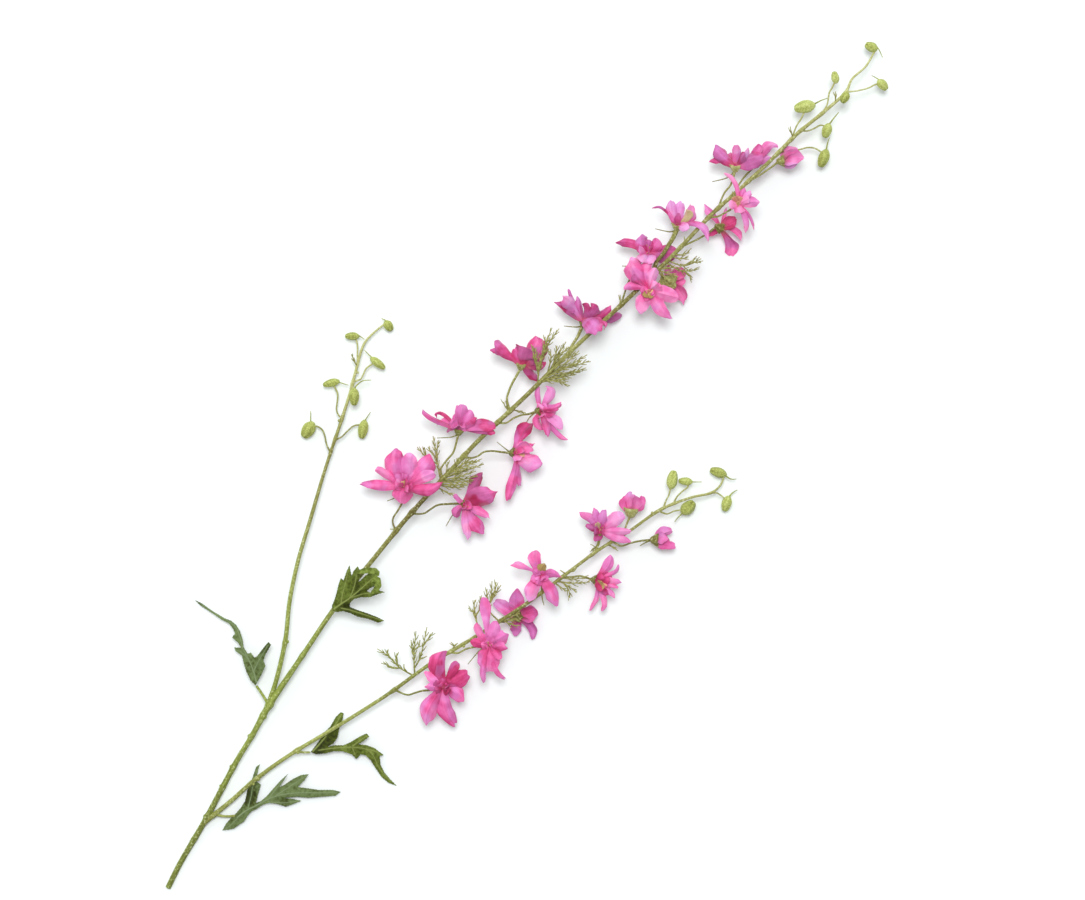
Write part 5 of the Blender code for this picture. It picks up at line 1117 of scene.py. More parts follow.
print("widths of a round petal:", [round(cut_width(ROUND, step / 5), 2) for step in range(6)])

# %% [markdown]
# ## Whole blooms
#
# A bloom takes its outer petals from its list. Inside them stands a ruff of small petals, then a
# few still smaller ones, and in some blooms a few cream ones in the middle, which growers call the
# bee. They are placed round the heart with a seeded chance, so the spray is the same on every run.
# A heart leans to one side as far as its last pair says.

# %% The blooms
EYE_RADIUS = 2.7 * MM
EYE_LENGTH = 4.6 * MM
EYE_PROFILE = [(0.0, 0.0), (0.02, 0.6), (0.45, 0.85), (0.62, 0.5), (0.68, 0.0)]
EYE_SIDES = 12
EYE_TONE = 0.2
EYE_LOBE_DEPTH = 0.1
Ruff = namedtuple("Ruff", "rise spread width")
OUTER_RUFF = Ruff(0.26, 0.34, 10.0)
INNER_RUFF = Ruff(0.34, 0.17, 8.0)
BEE = Ruff(0.30, 0.11, 4.5)
BEE_TONE = -0.50
RUFF_TURN = 0.3
RUFF_SIZES = (0.78, 1.12)
RUFF_WIDTHS = (0.8, 1.15)
RUFF_TONE_SHIFT = 0.14


def ring_of_petals(mould, bloom, seat, facing, reach, order, count, form, tone, chance):
    """Ring of small petals in the heart of a bloom."""
    first = facing.cross(Vector((0.3, 0.2, 1))).normalized()
    second = facing.cross(first)
    lean = turned(bloom.heart.lean[0], -bloom.heart.lean[1], 0) * STEP
    start = chance.uniform(0, 2 * math.pi)
    for number in range(count):
        angle = start + number * 2 * math.pi / count + chance.uniform(-RUFF_TURN, RUFF_TURN)
        away = first * math.cos(angle) + second * math.sin(angle)
        size = reach * chance.uniform(*RUFF_SIZES)
        tip = seat + lean + (facing * form.rise + away * form.spread) * size
        width = form.width * chance.uniform(*RUFF_WIDTHS)
        looks = Petal(0, 0, 0, width, tone + chance.uniform(-RUFF_TONE_SHIFT, RUFF_TONE_SHIFT), CUPPED)
        petal(mould, seat, facing, tip, looks, order + number, chance)


def bloom_petals(bloom):
    """Mould of all the petals of one bloom, with the small eye that they stand on."""
    mould = Mould()
    chance = random.Random(bloom.name)
    seat = place(*bloom.seat)
    facing = facing_of(bloom)
    profile = [(along * EYE_LENGTH, wide * EYE_RADIUS) for along, wide in EYE_PROFILE]
    round_form(mould, seat, facing, profile, EYE_SIDES, EYE_TONE, LOBES, EYE_LOBE_DEPTH)
    tips = []
    for order, entry in enumerate(bloom.petals):
        looks = Petal(*entry)
        tip = place(looks.across, looks.down, bloom.seat[2] + looks.rise)
        tips.append(tip)
        petal(mould, seat, facing, tip, looks, order, chance)
    reach = sum((tip - seat).length for tip in tips) / len(tips)
    heart = bloom.heart
    order = len(tips)
    for count, form, tone in ((heart.outer, OUTER_RUFF, heart.tone), (heart.inner, INNER_RUFF, heart.tone),
                              (heart.cream, BEE, BEE_TONE)):
        ring_of_petals(mould, bloom, seat, facing, reach, order, count, form, tone, chance)
        order += count
    return mould


bloom_moulds = {bloom.name: bloom_petals(bloom) for bloom in BLOOMS}
print("corners of the blooms:", sum(len(mould.corners) for mould in bloom_moulds.values()))

# %% [markdown]
# ## Lobed leaves
#
# A leaf blade is an outline filled with points and joined into triangles by a Delaunay net, which
# copes with deep lobes. The ribs give the heights: the blade hangs a little away from them and is
# creased along them. The edge gets small teeth, and the ribs themselves are thin raised tubes.

# %% The blades
LEAF_SHEET = 0.40 * MM
LEAF_CELL = 1.5 * MM
TOOTH = 0.38 * MM
CURL_WIDTH = 5.4 * MM
RIB_RADIUS = 0.42 * MM
LEAF_TONE = 0.54
UNDERSIDE_TONE = 0.1
RIB_TONE = 0.62
CURL_TONES = (0.70, 0.62)
MAIN_RIB = 1.7
RIB_TAPER = 0.7
RIB_RISE = 0.2 * MM
TOOTH_SPACING = 1.1 * MM
EDGE_CLEARANCE = 0.7 * MM
BLADE_HANG = 0.12
CREASE_DEPTH = 0.45 * MM
CREASE_WIDTH = 1.2 * MM
PUCKER_DEPTH = 0.22 * MM
PUCKER_SIZE = 0.9 * MM
PUCKER_REACH = 4 * MM
VEIN_STRENGTH = 0.45
VEIN_WIDTH = 0.6 * MM


def toothed(outline):
    """Outline of a leaf with small teeth along it."""
    found = []
    for first, second in zip(outline, outline[1:] + outline[:1]):
        run = second - first
        steps = max(1, round(run.length / TOOTH_SPACING))
        out = Vector((run.y, -run.x)).normalized()
        for step in range(steps):
            bump = TOOTH * (0.5 if step % 2 else -0.2) if step else 0.0
            found.append(first + run * step / steps - out * bump)
    return found


def inside(outline, point):
    """True where a point lies within an outline."""
    found = False
    for first, second in zip(outline, outline[1:] + outline[:1]):
        if (first.y > point.y) != (second.y > point.y):
            cross = first.x + (point.y - first.y) / (second.y - first.y) * (second.x - first.x)
            if point.x < cross:
                found = not found
    return found


def blade_height(ribs, point):
    """Height of a blade over a point, and how near the point is to a rib."""
    total = 0.0
    weight_sum = 0.0
    nearest = None
    for rib in ribs:
        there, distance = nearest_on([rib], Vector((*point, 0)))
        weight = 1 / (distance + 0.5 * MM) ** 4
        total += weight * (there.z - BLADE_HANG * distance)
        weight_sum += weight
        nearest = distance if nearest is None else min(nearest, distance)
    crease = CREASE_DEPTH * math.exp(-(nearest / CREASE_WIDTH) ** 2)
    pucker = PUCKER_DEPTH * math.cos(nearest / PUCKER_SIZE) * math.exp(-nearest / PUCKER_REACH)
    return total / weight_sum - crease + pucker, nearest


def shade_at(leaf, point):
    """How much darker or lighter a leaf is painted at a place."""
    return sum(spot.shift * math.exp(-((point - place(spot.across, spot.down).xy).length
                                       / (spot.reach * STEP)) ** 2)
               for spot in LEAF_SHADES[leaf.name])


def filling(outline, ribs):
    """Points that fill an outline: those along its ribs, and a staggered grid between."""
    wanted = [point.xy for rib in ribs for point in rib[:-1] if inside(outline, point)]
    low = Vector((min(point.x for point in outline), min(point.y for point in outline)))
    high = Vector((max(point.x for point in outline), max(point.y for point in outline)))
    for column in range(int((high.x - low.x) / LEAF_CELL)):
        for row in range(int((high.y - low.y) / LEAF_CELL)):
            point = low + Vector((column + 0.5 + 0.5 * (row % 2), row + 0.5)) * LEAF_CELL
            clear = all((point - other).length > EDGE_CLEARANCE for other in outline)
            if clear and inside(outline, point):
                wanted.append(point)
    return wanted


def join_sides(mould, pairs, triangles):
    """Triangles on both sides of a blade, and the band that closes its edge."""
    borders = {}
    for triangle in triangles:
        for face in (0, 1):
            mould.faces.append([pairs[corner][face] for corner in triangle])
        for first, second in zip(triangle, triangle[1:] + triangle[:1]):
            key = frozenset((first, second))
            borders[key] = None if key in borders else (first, second)
    for first, second in filter(None, borders.values()):
        mould.faces.append([pairs[first][0], pairs[first][1], pairs[second][1], pairs[second][0]])


def leaf_blade(leaf):
    """Mould of a lobed leaf: its blade, its ribs and any tips that curl over."""
    mould = Mould()
    outline = toothed([place(*entry).xy for entry in leaf.outline])
    ribs = [[Vector(row[:3]) for row in smooth_line([place(*entry) for entry in rib], 1.6 * MM)]
            for rib in leaf.ribs]
    edges = [(index, (index + 1) % len(outline)) for index in range(len(outline))]
    flat, _, triangles, *_ = delaunay_2d_cdt(outline + filling(outline, ribs), edges, [], 1, 1e-6)
    pairs = []
    for point in flat:
        height, near = blade_height(ribs, point)
        height = max(height, LEAF_SHEET / 2)
        vein = VEIN_STRENGTH * math.exp(-(near / VEIN_WIDTH) ** 2)
        chart = (point.x / CHART_UNIT, point.y / CHART_UNIT)
        shade = shade_at(leaf, point)
        pairs.append([
            mould.corner(Vector((*point, height + face * LEAF_SHEET / 2)), chart, tone + shade, vein)
            for face, tone in ((1, LEAF_TONE), (-1, UNDERSIDE_TONE))])
    join_sides(mould, pairs, triangles)
    for rib in ribs:
        leaf_rib(mould, ribs, rib, MAIN_RIB if rib is ribs[0] else 1.0)
    for flap in leaf.flaps:
        curled_tip(mould, flap)
    return mould


def leaf_rib(mould, ribs, rib, stout):
    """Thin raised rib on a blade."""
    count = len(rib) - 1
    rows = []
    for index, point in enumerate(rib):
        height, _ = blade_height(ribs, point.xy)
        radius = RIB_RADIUS * stout * (1 - RIB_TAPER * index / count)
        rows.append((point.x, point.y, max(height, 0.0) + RIB_RISE, radius, RIB_TONE))
    start = len(mould.corners)
    tube(mould, np.array(rows), 6)
    for corner in range(start, len(mould.corners)):
        mould.marks[corner] = 1.0


def curled_tip(mould, route):
    """Thin strip that carries on from a leaf's blade and curls over it."""
    rows = []
    points = [Vector(row) for row in smooth_line([place(*entry) for entry in route], 1.2 * MM)]
    for index, point in enumerate(points):
        ahead = points[min(index + 1, len(points) - 1)] - points[max(index - 1, 0)]
        side = ahead.cross(Vector((0, 0, 1))).normalized()
        normal = side.cross(ahead).normalized()
        share = index / (len(points) - 1)
        half = CURL_WIDTH / 2 * math.sqrt(max(1 - share ** 3, 0.04)) * (1 + 0.12 * math.sin(index * 1.9))
        fronts = []
        backs = []
        for across in (-1, -0.5, 0, 0.5, 1):
            middle = point + side * half * across + normal * 0.5 * MM * (across ** 2 - 0.5)
            chart = (middle.x / CHART_UNIT, middle.y / CHART_UNIT)
            fronts.append(mould.corner(middle + normal * LEAF_SHEET / 2, chart, CURL_TONES[0]))
            backs.append(mould.corner(middle - normal * LEAF_SHEET / 2, chart, CURL_TONES[1]))
        rows.append((fronts, backs))
    mould.sheet(rows)


leaf_moulds = {leaf.name: leaf_blade(leaf) for leaf in LEAVES}
print("corners of the leaves:", {name: len(mould.corners) for name, mould in leaf_moulds.items()})

# %% [markdown]
# ## Finishes: what they share
#
# Petals, stems, buds and leaves are different surfaces, but the same effects return in all of them:
# a soft mottle, a fine grain that catches the light, and streaks that run with the growth. Each of
# these is a node group with named inputs, built once, and every material places it with its own
# values. A group gives out a plain value or a normal only; the shader stays in the material.

# %% Node helpers
def join(tree, source, target):
    """Link from an output to an input, or a plain value set on the input."""
    if isinstance(source, bpy.types.NodeSocket):
        tree.links.new(source, target)
    else:
        target.default_value = source


def add(tree, kind, inputs=None, **settings):
    """New node with its properties set, and then its inputs, given by name or by number."""
    found = tree.nodes.new(kind)
    for key, value in settings.items():
        setattr(found, key, value)
    for key, source in (inputs or {}).items():
        join(tree, source, found.inputs[key])
    return found


def math_of(tree, operation, *values):
    """Result of a sum on one, two or three values."""
    return add(tree, "ShaderNodeMath", dict(enumerate(values)), operation=operation).outputs[0]


def swayed(tree, value, by, amount):
    """A value moved up or down by how far another one is from a half."""
    return math_of(tree, "ADD", value, math_of(tree, "MULTIPLY", math_of(tree, "SUBTRACT", by, 0.5), amount))


def lowered(tree, value, by, amount):
    """A value lowered by a share of another one."""
    return math_of(tree, "SUBTRACT", value, math_of(tree, "MULTIPLY", by, amount))


def ranged(tree, value, low, high, to_low=0.0, to_high=1.0):
    """Value taken from one range to another, with soft ends."""
    return add(tree, "ShaderNodeMapRange", {
        "Value": value, "From Min": low, "From Max": high, "To Min": to_low, "To Max": to_high},
        interpolation_type="SMOOTHSTEP").outputs["Result"]


def mixed(tree, share, first, second):
    """Colour between two colours."""
    found = add(tree, "ShaderNodeMix", {"Factor": share}, data_type="RGBA")
    colours = [socket for socket in found.inputs if socket.type == "RGBA"]
    for colour, socket in zip((first, second), colours):
        join(tree, (*colour, 1.0) if isinstance(colour, tuple) else colour, socket)
    return [socket for socket in found.outputs if socket.type == "RGBA"][0]


def ramp(tree, value, stops):
    """Colour looked up on a ramp of (place, colour) stops."""
    found = add(tree, "ShaderNodeValToRGB", {"Fac": value})
    elements = found.color_ramp.elements
    for index, (position, colour) in enumerate(stops):
        element = elements[index] if index < 2 else elements.new(position)
        element.position = position
        element.color = (*colour, 1.0)
    return found.outputs["Color"]


def painted(tree, title):
    """Value painted on the corners under a name."""
    return add(tree, "ShaderNodeAttribute", attribute_name=title).outputs["Fac"]


def parts_of(tree, vector):
    """The three values of a vector."""
    return add(tree, "ShaderNodeSeparateXYZ", {"Vector": vector}).outputs


def charted(tree):
    """The two values of the chart: across and along."""
    parts = parts_of(tree, add(tree, "ShaderNodeUVMap", uv_map="chart").outputs["UV"])
    return parts["X"], parts["Y"]


def here(tree):
    """Place in the frame of the spray."""
    return add(tree, "ShaderNodeTexCoord").outputs["Object"]


def grainy(tree, where, scale, detail):
    """Soft noise at a place."""
    return add(tree, "ShaderNodeTexNoise", {"Vector": where, "Scale": scale, "Detail": detail}).outputs["Fac"]


print("node helpers are ready")

# %% The shared effects
STREAK_SPREAD = 9.0


def new_group(title, values, result, kind="NodeSocketFloat"):
    """Node group with named values going in and one result going out."""
    tree = bpy.data.node_groups.new(title, "ShaderNodeTree")
    for name in values:
        tree.interface.new_socket(name, in_out="INPUT", socket_type="NodeSocketFloat")
    tree.interface.new_socket(result, in_out="OUTPUT", socket_type=kind)
    return tree, add(tree, "NodeGroupInput").outputs, add(tree, "NodeGroupOutput").inputs[0]


def mottle_group():
    """Soft patches of light and dark over a piece."""
    tree, given, out = new_group("soft_mottle", ("Scale", "Detail"), "Value")
    patches = grainy(tree, here(tree), given["Scale"], given["Detail"])
    join(tree, ranged(tree, patches, 0.3, 0.7), out)
    return tree


def grain_group():
    """Fine grain as a normal, for skins that are not quite smooth."""
    tree, given, out = new_group("fine_grain", ("Scale", "Strength", "Depth"), "Normal", "NodeSocketVector")
    grain = grainy(tree, here(tree), given["Scale"], 3.0)
    bump = add(tree, "ShaderNodeBump", {
        "Height": grain, "Strength": given["Strength"], "Distance": given["Depth"]})
    join(tree, bump.outputs["Normal"], out)
    return tree


def streak_group():
    """Streaks that run along a piece by its chart: many across it, long ones along it."""
    tree, given, out = new_group("growth_streaks", ("Across", "Along"), "Value")
    across, along = charted(tree)
    stretched = add(tree, "ShaderNodeCombineXYZ", {
        "X": math_of(tree, "MULTIPLY", across, given["Across"]),
        "Y": math_of(tree, "MULTIPLY", along, given["Along"])})
    offset = add(tree, "ShaderNodeVectorMath", {
        0: here(tree), 1: (STREAK_SPREAD,) * 3, 2: stretched.outputs["Vector"]}, operation="MULTIPLY_ADD")
    streaks = grainy(tree, offset.outputs["Vector"], 1.0, 2.0)
    join(tree, ranged(tree, streaks, 0.32, 0.68), out)
    return tree


MOTTLE = mottle_group()
GRAIN = grain_group()
STREAKS = streak_group()


def effect(tree, group, **values):
    """What a shared effect gives in a material, with the material's own values."""
    return add(tree, "ShaderNodeGroup", values, node_tree=group).outputs[0]


def new_material(title, roughness, specular, sheen=0.0):
    """Material with a plain shader, and that shader's inputs."""
    material = bpy.data.materials.new(title)
    material.use_nodes = True
    shader = material.node_tree.nodes["Principled BSDF"].inputs
    shader["Roughness"].default_value = roughness
    shader["Specular IOR Level"].default_value = specular
    shader["Sheen Weight"].default_value = sheen
    return material, material.node_tree, shader


def dress(tree, shader, colour, scale, strength, depth):
    """Colour of a material, and a grain of some scale, strength and depth on it."""
    join(tree, colour, shader["Base Color"])
    join(tree, effect(tree, GRAIN, Scale=scale, Strength=strength, Depth=depth), shader["Normal"])


print("shared effects:", [group.name for group in (MOTTLE, GRAIN, STREAKS)])

# %% [markdown]
# ## Petal pink
#
# Real petals of this plant run from deep magenta in the folds to lilac where the light shines on
# them. The painted tone picks the colour on a ramp. Streaks that fan out from the claw, a painted
# highlight down the middle and a slow mottle move it up and down that ramp, and a slower one turns
# some patches to lilac and others to a hotter pink. Towards the root the front goes deep crimson,
# partly the petals' own colour and partly painted shade where they crowd into the heart, and the
# back goes green-cream, as the sepals of the real flower do where they leave the cup. Blooms that
# lie in shade wear a painted shade: a second finish, a duller and cooler pink that differs from the
# first only in how much red it holds.

# %% Petal material
OCHRE = (0.36, 0.25, 0.08)
CREAM = (0.80, 0.58, 0.30)
LILAC = (0.60, 0.25, 0.62)
HOT_PINK = (0.84, 0.065, 0.26)
LILAC_SHARE = 0.31
HOT_SHARE = 0.24
ROOT_FRONT = (0.63, 0.055, 0.21)
ROOT_BACK = (0.44, 0.22, 0.11)
ROOT_SHARE = 0.8
STREAK_AMOUNT = 0.10
MOTTLE_AMOUNT = 0.24
MIDDLE_HIGHLIGHT = 0.08
BACK_SHADE = 0.06
TIP_SHADE = 0.08
PETAL_RAMP = [(0.05, OCHRE), (0.20, CREAM), (0.42, (0.45, 0.12, 0.12)), (0.52, (0.33, 0.010, 0.056)),
              (0.64, (0.45, 0.024, 0.124)), (0.72, (0.61, 0.066, 0.236)), (0.80, (0.775, 0.135, 0.405)),
              (0.88, (0.865, 0.217, 0.520)), (0.96, (0.92, 0.360, 0.670))]
# Painted shade: blooms that lie in shade wear a copy of the pink with less red, duller and cooler.
PAINTED_SHADE_REDNESS = 0.84
PAINTED_SHADE_BLOOMS = ("main_bloom_04", "main_bloom_05", "main_bloom_08", "main_bloom_11", "main_bloom_12",
                "main_bloom_13", "side_bloom_03", "side_bloom_06", "side_bloom_07", "side_bloom_08")


def petal_material(title, redness):
    """Pink of petals, led by their painted tone, with a share of the full red."""
    material, tree, shader = new_material(title, 0.52, 0.28, 0.12)
    across, along = charted(tree)
    tone = painted(tree, "tone")
    back = painted(tree, "mark")
    streaks = effect(tree, STREAKS, Across=9.0, Along=0.9)
    mottle = effect(tree, MOTTLE, Scale=120.0, Detail=2.5)
    blush = effect(tree, MOTTLE, Scale=55.0, Detail=1.0)
    # Painted highlight: a lighter band down the middle of each petal.
    centred = math_of(tree, "ABSOLUTE", math_of(tree, "SUBTRACT", across, 0.5))
    middle = math_of(tree, "MULTIPLY", ranged(tree, centred, 0.05, 0.45, 1.0, 0.0),
                     ranged(tree, along, 0.3, 0.7))
    moved = swayed(tree, swayed(tree, tone, streaks, STREAK_AMOUNT), mottle, MOTTLE_AMOUNT)
    moved = math_of(tree, "ADD", moved, math_of(tree, "MULTIPLY", middle, MIDDLE_HIGHLIGHT))
    moved = lowered(tree, moved, back, BACK_SHADE)
    moved = lowered(tree, moved, ranged(tree, along, 0.9, 1.0), TIP_SHADE)
    spot = math_of(tree, "MULTIPLY_ADD", moved, 0.5, 0.5)
    stops = [(stop, (redness * red, green, blue)) for stop, (red, green, blue) in PETAL_RAMP]
    colour = ramp(tree, spot, stops)
    pink = ranged(tree, tone, 0.0, 0.3)
    for share, patch in ((ranged(tree, blush, 0.50, 0.72, 0.0, LILAC_SHARE), LILAC),
                         (ranged(tree, blush, 0.28, 0.50, HOT_SHARE, 0.0), HOT_PINK)):
        colour = mixed(tree, math_of(tree, "MULTIPLY", share, pink), colour, patch)
    cream = ranged(tree, tone, -0.3, 0.0, 1.0, 0.0)
    # Towards the root the front goes deep crimson, partly the petals' own colour and partly painted shade
    # where the petals crowd into the heart.
    root = math_of(tree, "MULTIPLY", ranged(tree, along, 0.08, 0.46, 1.0, 0.0),
                   math_of(tree, "SUBTRACT", 1.0, cream))
    root_colour = mixed(tree, back, ROOT_FRONT, ROOT_BACK)
    colour = mixed(tree, math_of(tree, "MULTIPLY", root, ROOT_SHARE), colour, root_colour)
    dress(tree, shader, colour, 1400.0, 0.25, 0.0003)
    return material


PETAL_PINK = petal_material("petal_pink", 1.0)
PETAL_PAINTED_SHADE = petal_material("petal_dusky", PAINTED_SHADE_REDNESS)
print("petal finishes:", [(finish.name, len(finish.node_tree.nodes)) for finish in (PETAL_PINK, PETAL_PAINTED_SHADE)])

# %% [markdown]
# ## Greens
#
# The stems are a matte green, fresh near the heel and a drier olive farther along. The painted tone
# again picks the colour on a ramp, here on two of them, with long streaks and pale flecks over it.
# Buds share the flecks on a livelier lime, with shade in their grooves. Lobed leaves are a cooler
# green with paler veins and a dark underside; two of them wear a finish with a bloom of wax.

# %% Stem, bud, leaf and heart materials
PALE_FLECK = (0.66, 0.70, 0.42)
FLECK_SHARE = 0.55
FRESH_STEM = [(0.0, (0.070, 0.066, 0.013)), (0.25, (0.139, 0.158, 0.026)), (0.5, (0.240, 0.300, 0.050)),
              (0.75, (0.388, 0.475, 0.100)), (1.0, (0.57, 0.68, 0.21))]
DRY_STEM = [(0.0, (0.085, 0.066, 0.015)), (0.25, (0.172, 0.158, 0.034)), (0.5, (0.294, 0.298, 0.085)),
            (0.75, (0.470, 0.478, 0.180)), (1.0, (0.67, 0.69, 0.35))]
DRY_FROM = 0.17
DRY_TO = 0.34
BUD_RAMP = [(0.0, (0.175, 0.185, 0.034)), (0.3, (0.345, 0.388, 0.082)), (0.6, (0.520, 0.588, 0.172)),
            (1.0, (0.74, 0.80, 0.37))]
GROOVE_SHADE = 0.34
LEAF_RAMP = [(0.0, (0.020, 0.025, 0.001)), (0.3, (0.058, 0.078, 0.004)), (0.55, (0.118, 0.160, 0.020)),
             (0.8, (0.21, 0.28, 0.052)), (1.0, (0.33, 0.42, 0.09))]
VEIN = (0.30, 0.36, 0.10)
WAXY_VEIN = (0.24, 0.315, 0.16)
VEIN_SHARE = 0.80
WAX = (0.175, 0.25, 0.133)
WAX_SHARE = 0.46
WAXY_LEAVES = ("low_leaf", "side_leaf")
HEART_RAMP = [(0.0, (0.42, 0.40, 0.14)), (0.5, (0.60, 0.42, 0.18)), (1.0, (0.50, 0.24, 0.08))]


def dryness(tree):
    """Share of dry olive, which rises along the spray from its heel."""
    return ranged(tree, parts_of(tree, here(tree))["Y"], DRY_FROM, DRY_TO)


def stem_material():
    """Fresh to dry green of the stems, cups and spurs."""
    material, tree, shader = new_material("stem_green", 0.58, 0.30)
    streaks = effect(tree, STREAKS, Across=7.0, Along=0.35)
    flecks = effect(tree, MOTTLE, Scale=620.0, Detail=3.0)
    moved = swayed(tree, swayed(tree, painted(tree, "tone"), streaks, 0.20), flecks, 0.22)
    dry = math_of(tree, "MAXIMUM", dryness(tree), painted(tree, "mark"))
    colour = mixed(tree, dry, ramp(tree, moved, FRESH_STEM), ramp(tree, moved, DRY_STEM))
    pale = math_of(tree, "MULTIPLY", ranged(tree, flecks, 0.80, 1.0), FLECK_SHARE)
    dress(tree, shader, mixed(tree, pale, colour, PALE_FLECK), 1500.0, 0.6, 0.0006)
    return material


def bud_material():
    """Lime of the buds, darker in their grooves."""
    material, tree, shader = new_material("bud_lime", 0.55, 0.30)
    flecks = effect(tree, MOTTLE, Scale=900.0, Detail=3.0)
    moved = swayed(tree, painted(tree, "tone"), flecks, 0.42)
    moved = lowered(tree, moved, painted(tree, "mark"), GROOVE_SHADE)
    dress(tree, shader, ramp(tree, moved, BUD_RAMP), 1300.0, 0.8, 0.0008)
    return material


def leaf_material(title, wax, vein_colour):
    """Green of the lobed leaves with paler veins, cooler where wax covers them."""
    material, tree, shader = new_material(title, 0.60, 0.18)
    mottle = effect(tree, MOTTLE, Scale=420.0, Detail=4.0)
    moved = swayed(tree, painted(tree, "tone"), mottle, 0.34)
    dust = math_of(tree, "MULTIPLY", ranged(tree, moved, 0.1, 0.6), wax)
    dusted = mixed(tree, dust, ramp(tree, moved, LEAF_RAMP), WAX)
    vein = math_of(tree, "MULTIPLY", painted(tree, "mark"), VEIN_SHARE)
    dress(tree, shader, mixed(tree, vein, dusted, vein_colour), 900.0, 0.8, 0.0010)
    return material


def heart_material():
    """Cream filaments with ochre tips."""
    material, tree, shader = new_material("heart_cream", 0.6, 0.3)
    mottle = effect(tree, MOTTLE, Scale=900.0, Detail=2.0)
    moved = math_of(tree, "ADD", painted(tree, "tone"), math_of(tree, "MULTIPLY", mottle, 0.2))
    join(tree, ramp(tree, moved, HEART_RAMP), shader["Base Color"])
    return material


STEM_GREEN = stem_material()
BUD_LIME = bud_material()
LEAF_GREEN = leaf_material("leaf_green", 0.0, VEIN)
LEAF_WAXY = leaf_material("leaf_waxy", WAX_SHARE, WAXY_VEIN)
HEART_CREAM = heart_material()
print("materials:", [material.name for material in bpy.data.materials if material.node_tree])

# %% [markdown]
# ## Casting the moulded pieces
#
# Now the moulds become objects. Each one stands for the solid whose place it takes, and rides with
# the body of the spray.

# %% Skins, buds, blooms and leaves as objects
ROUND_ANGLE = 60.0


def hand_over(piece, node):
    """A finished piece rides with the spray and stands for its solid."""
    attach(piece, "root")
    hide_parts(node)
    return piece


skin_pieces = {}
for stem in STEMS:
    skin = skins[stem.name].cast(stem.name + "_skin", STEM_GREEN, ROUND_ANGLE)
    skin_pieces[stem.name] = hand_over(skin, stem.name)
    hand_over(buds[stem.name].cast(stem.name + "_buds", BUD_LIME, ROUND_ANGLE), stem.name)
for bloom in BLOOMS:
    # Blooms that lie in shade wear the pink with painted shade.
    finish = PETAL_PAINTED_SHADE if bloom.name in PAINTED_SHADE_BLOOMS else PETAL_PINK
    hand_over(bloom_moulds[bloom.name].cast(bloom.name + "_petals", finish), bloom.name)
for leaf in LEAVES:
    finish = LEAF_WAXY if leaf.name in WAXY_LEAVES else LEAF_GREEN
    hand_over(leaf_moulds[leaf.name].cast(leaf.name + "_blade", finish), leaf.name)

# %% [markdown]
# ## Threads, stamens and hairs with Geometry Nodes
#
# What repeats, or follows a path or a surface, is left to Geometry Nodes. Three small trees are
# built here. `thread_tree` turns bare edges into tapering threads, `stamen_tree` makes a tuft of
# stamens on the spot, and `hair_tree` sows short hairs on a skin. Each has named inputs for its
# sizes and ends in Realize Instances and Set Material, so that the result can be kept as a plain
# mesh. The two trees that draw by chance also take a seed.

# %% Helpers for the trees
def geometry_tree(title, inputs):
    """Geometry tree with named inputs and one geometry going out; gives its parts and input names."""
    tree = bpy.data.node_groups.new(title, "GeometryNodeTree")
    names = {}
    for name, kind in inputs:
        socket = tree.interface.new_socket(name, in_out="INPUT", socket_type="NodeSocket" + kind)
        names[name] = socket.identifier
    tree.interface.new_socket("Result", in_out="OUTPUT", socket_type="NodeSocketGeometry")
    return tree, add(tree, "NodeGroupInput").outputs, names


def finish_tree(tree, geometry, material):
    """Realised instances, smooth faces and the material at the end of a tree."""
    realise = add(tree, "GeometryNodeRealizeInstances", {"Geometry": geometry})
    smooth = add(tree, "GeometryNodeSetShadeSmooth", {"Geometry": realise.outputs["Geometry"]})
    cover = add(tree, "GeometryNodeSetMaterial", {
        "Geometry": smooth.outputs["Geometry"], "Material": material})
    add(tree, "NodeGroupOutput", {"Result": cover.outputs["Geometry"]})


def grown(title, mesh, tree, names, values):
    """Plain object with what a tree makes from a mesh."""
    source = set_out(title, mesh)
    modifier = source.modifiers.new(title, "NODES")
    modifier.node_group = tree
    for name, value in values.items():
        modifier[names[name]] = value
    bpy.context.view_layer.update()
    evaluated = source.evaluated_get(bpy.context.evaluated_depsgraph_get())
    made = bpy.data.meshes.new_from_object(evaluated)
    source.modifiers.clear()
    source.data = made
    made.name = title
    return source


print("trees can be grown")

# %% Threads
FORK_SPACING = 3.4 * MM
FORK_FROM = 8.5 * MM
FORK_STOUTNESS = 0.72
FORK_FIRST = 0.24
FORK_RUN = 0.70
FORK_LAST = 0.94
FORK_TURN = (0.35, 0.65)
FORK_REACH = (3.6, 7.5)
FORK_LIFT = (-0.5, 0.9)
ROOT_CATCH = 6 * MM
FRESH_THREAD = [(0.0, (0.130, 0.135, 0.032)), (0.45, (0.245, 0.280, 0.060)), (1.0, (0.41, 0.45, 0.16))]
DRY_THREAD = [(0.0, (0.155, 0.140, 0.042)), (0.45, (0.290, 0.288, 0.080)), (1.0, (0.48, 0.47, 0.20))]


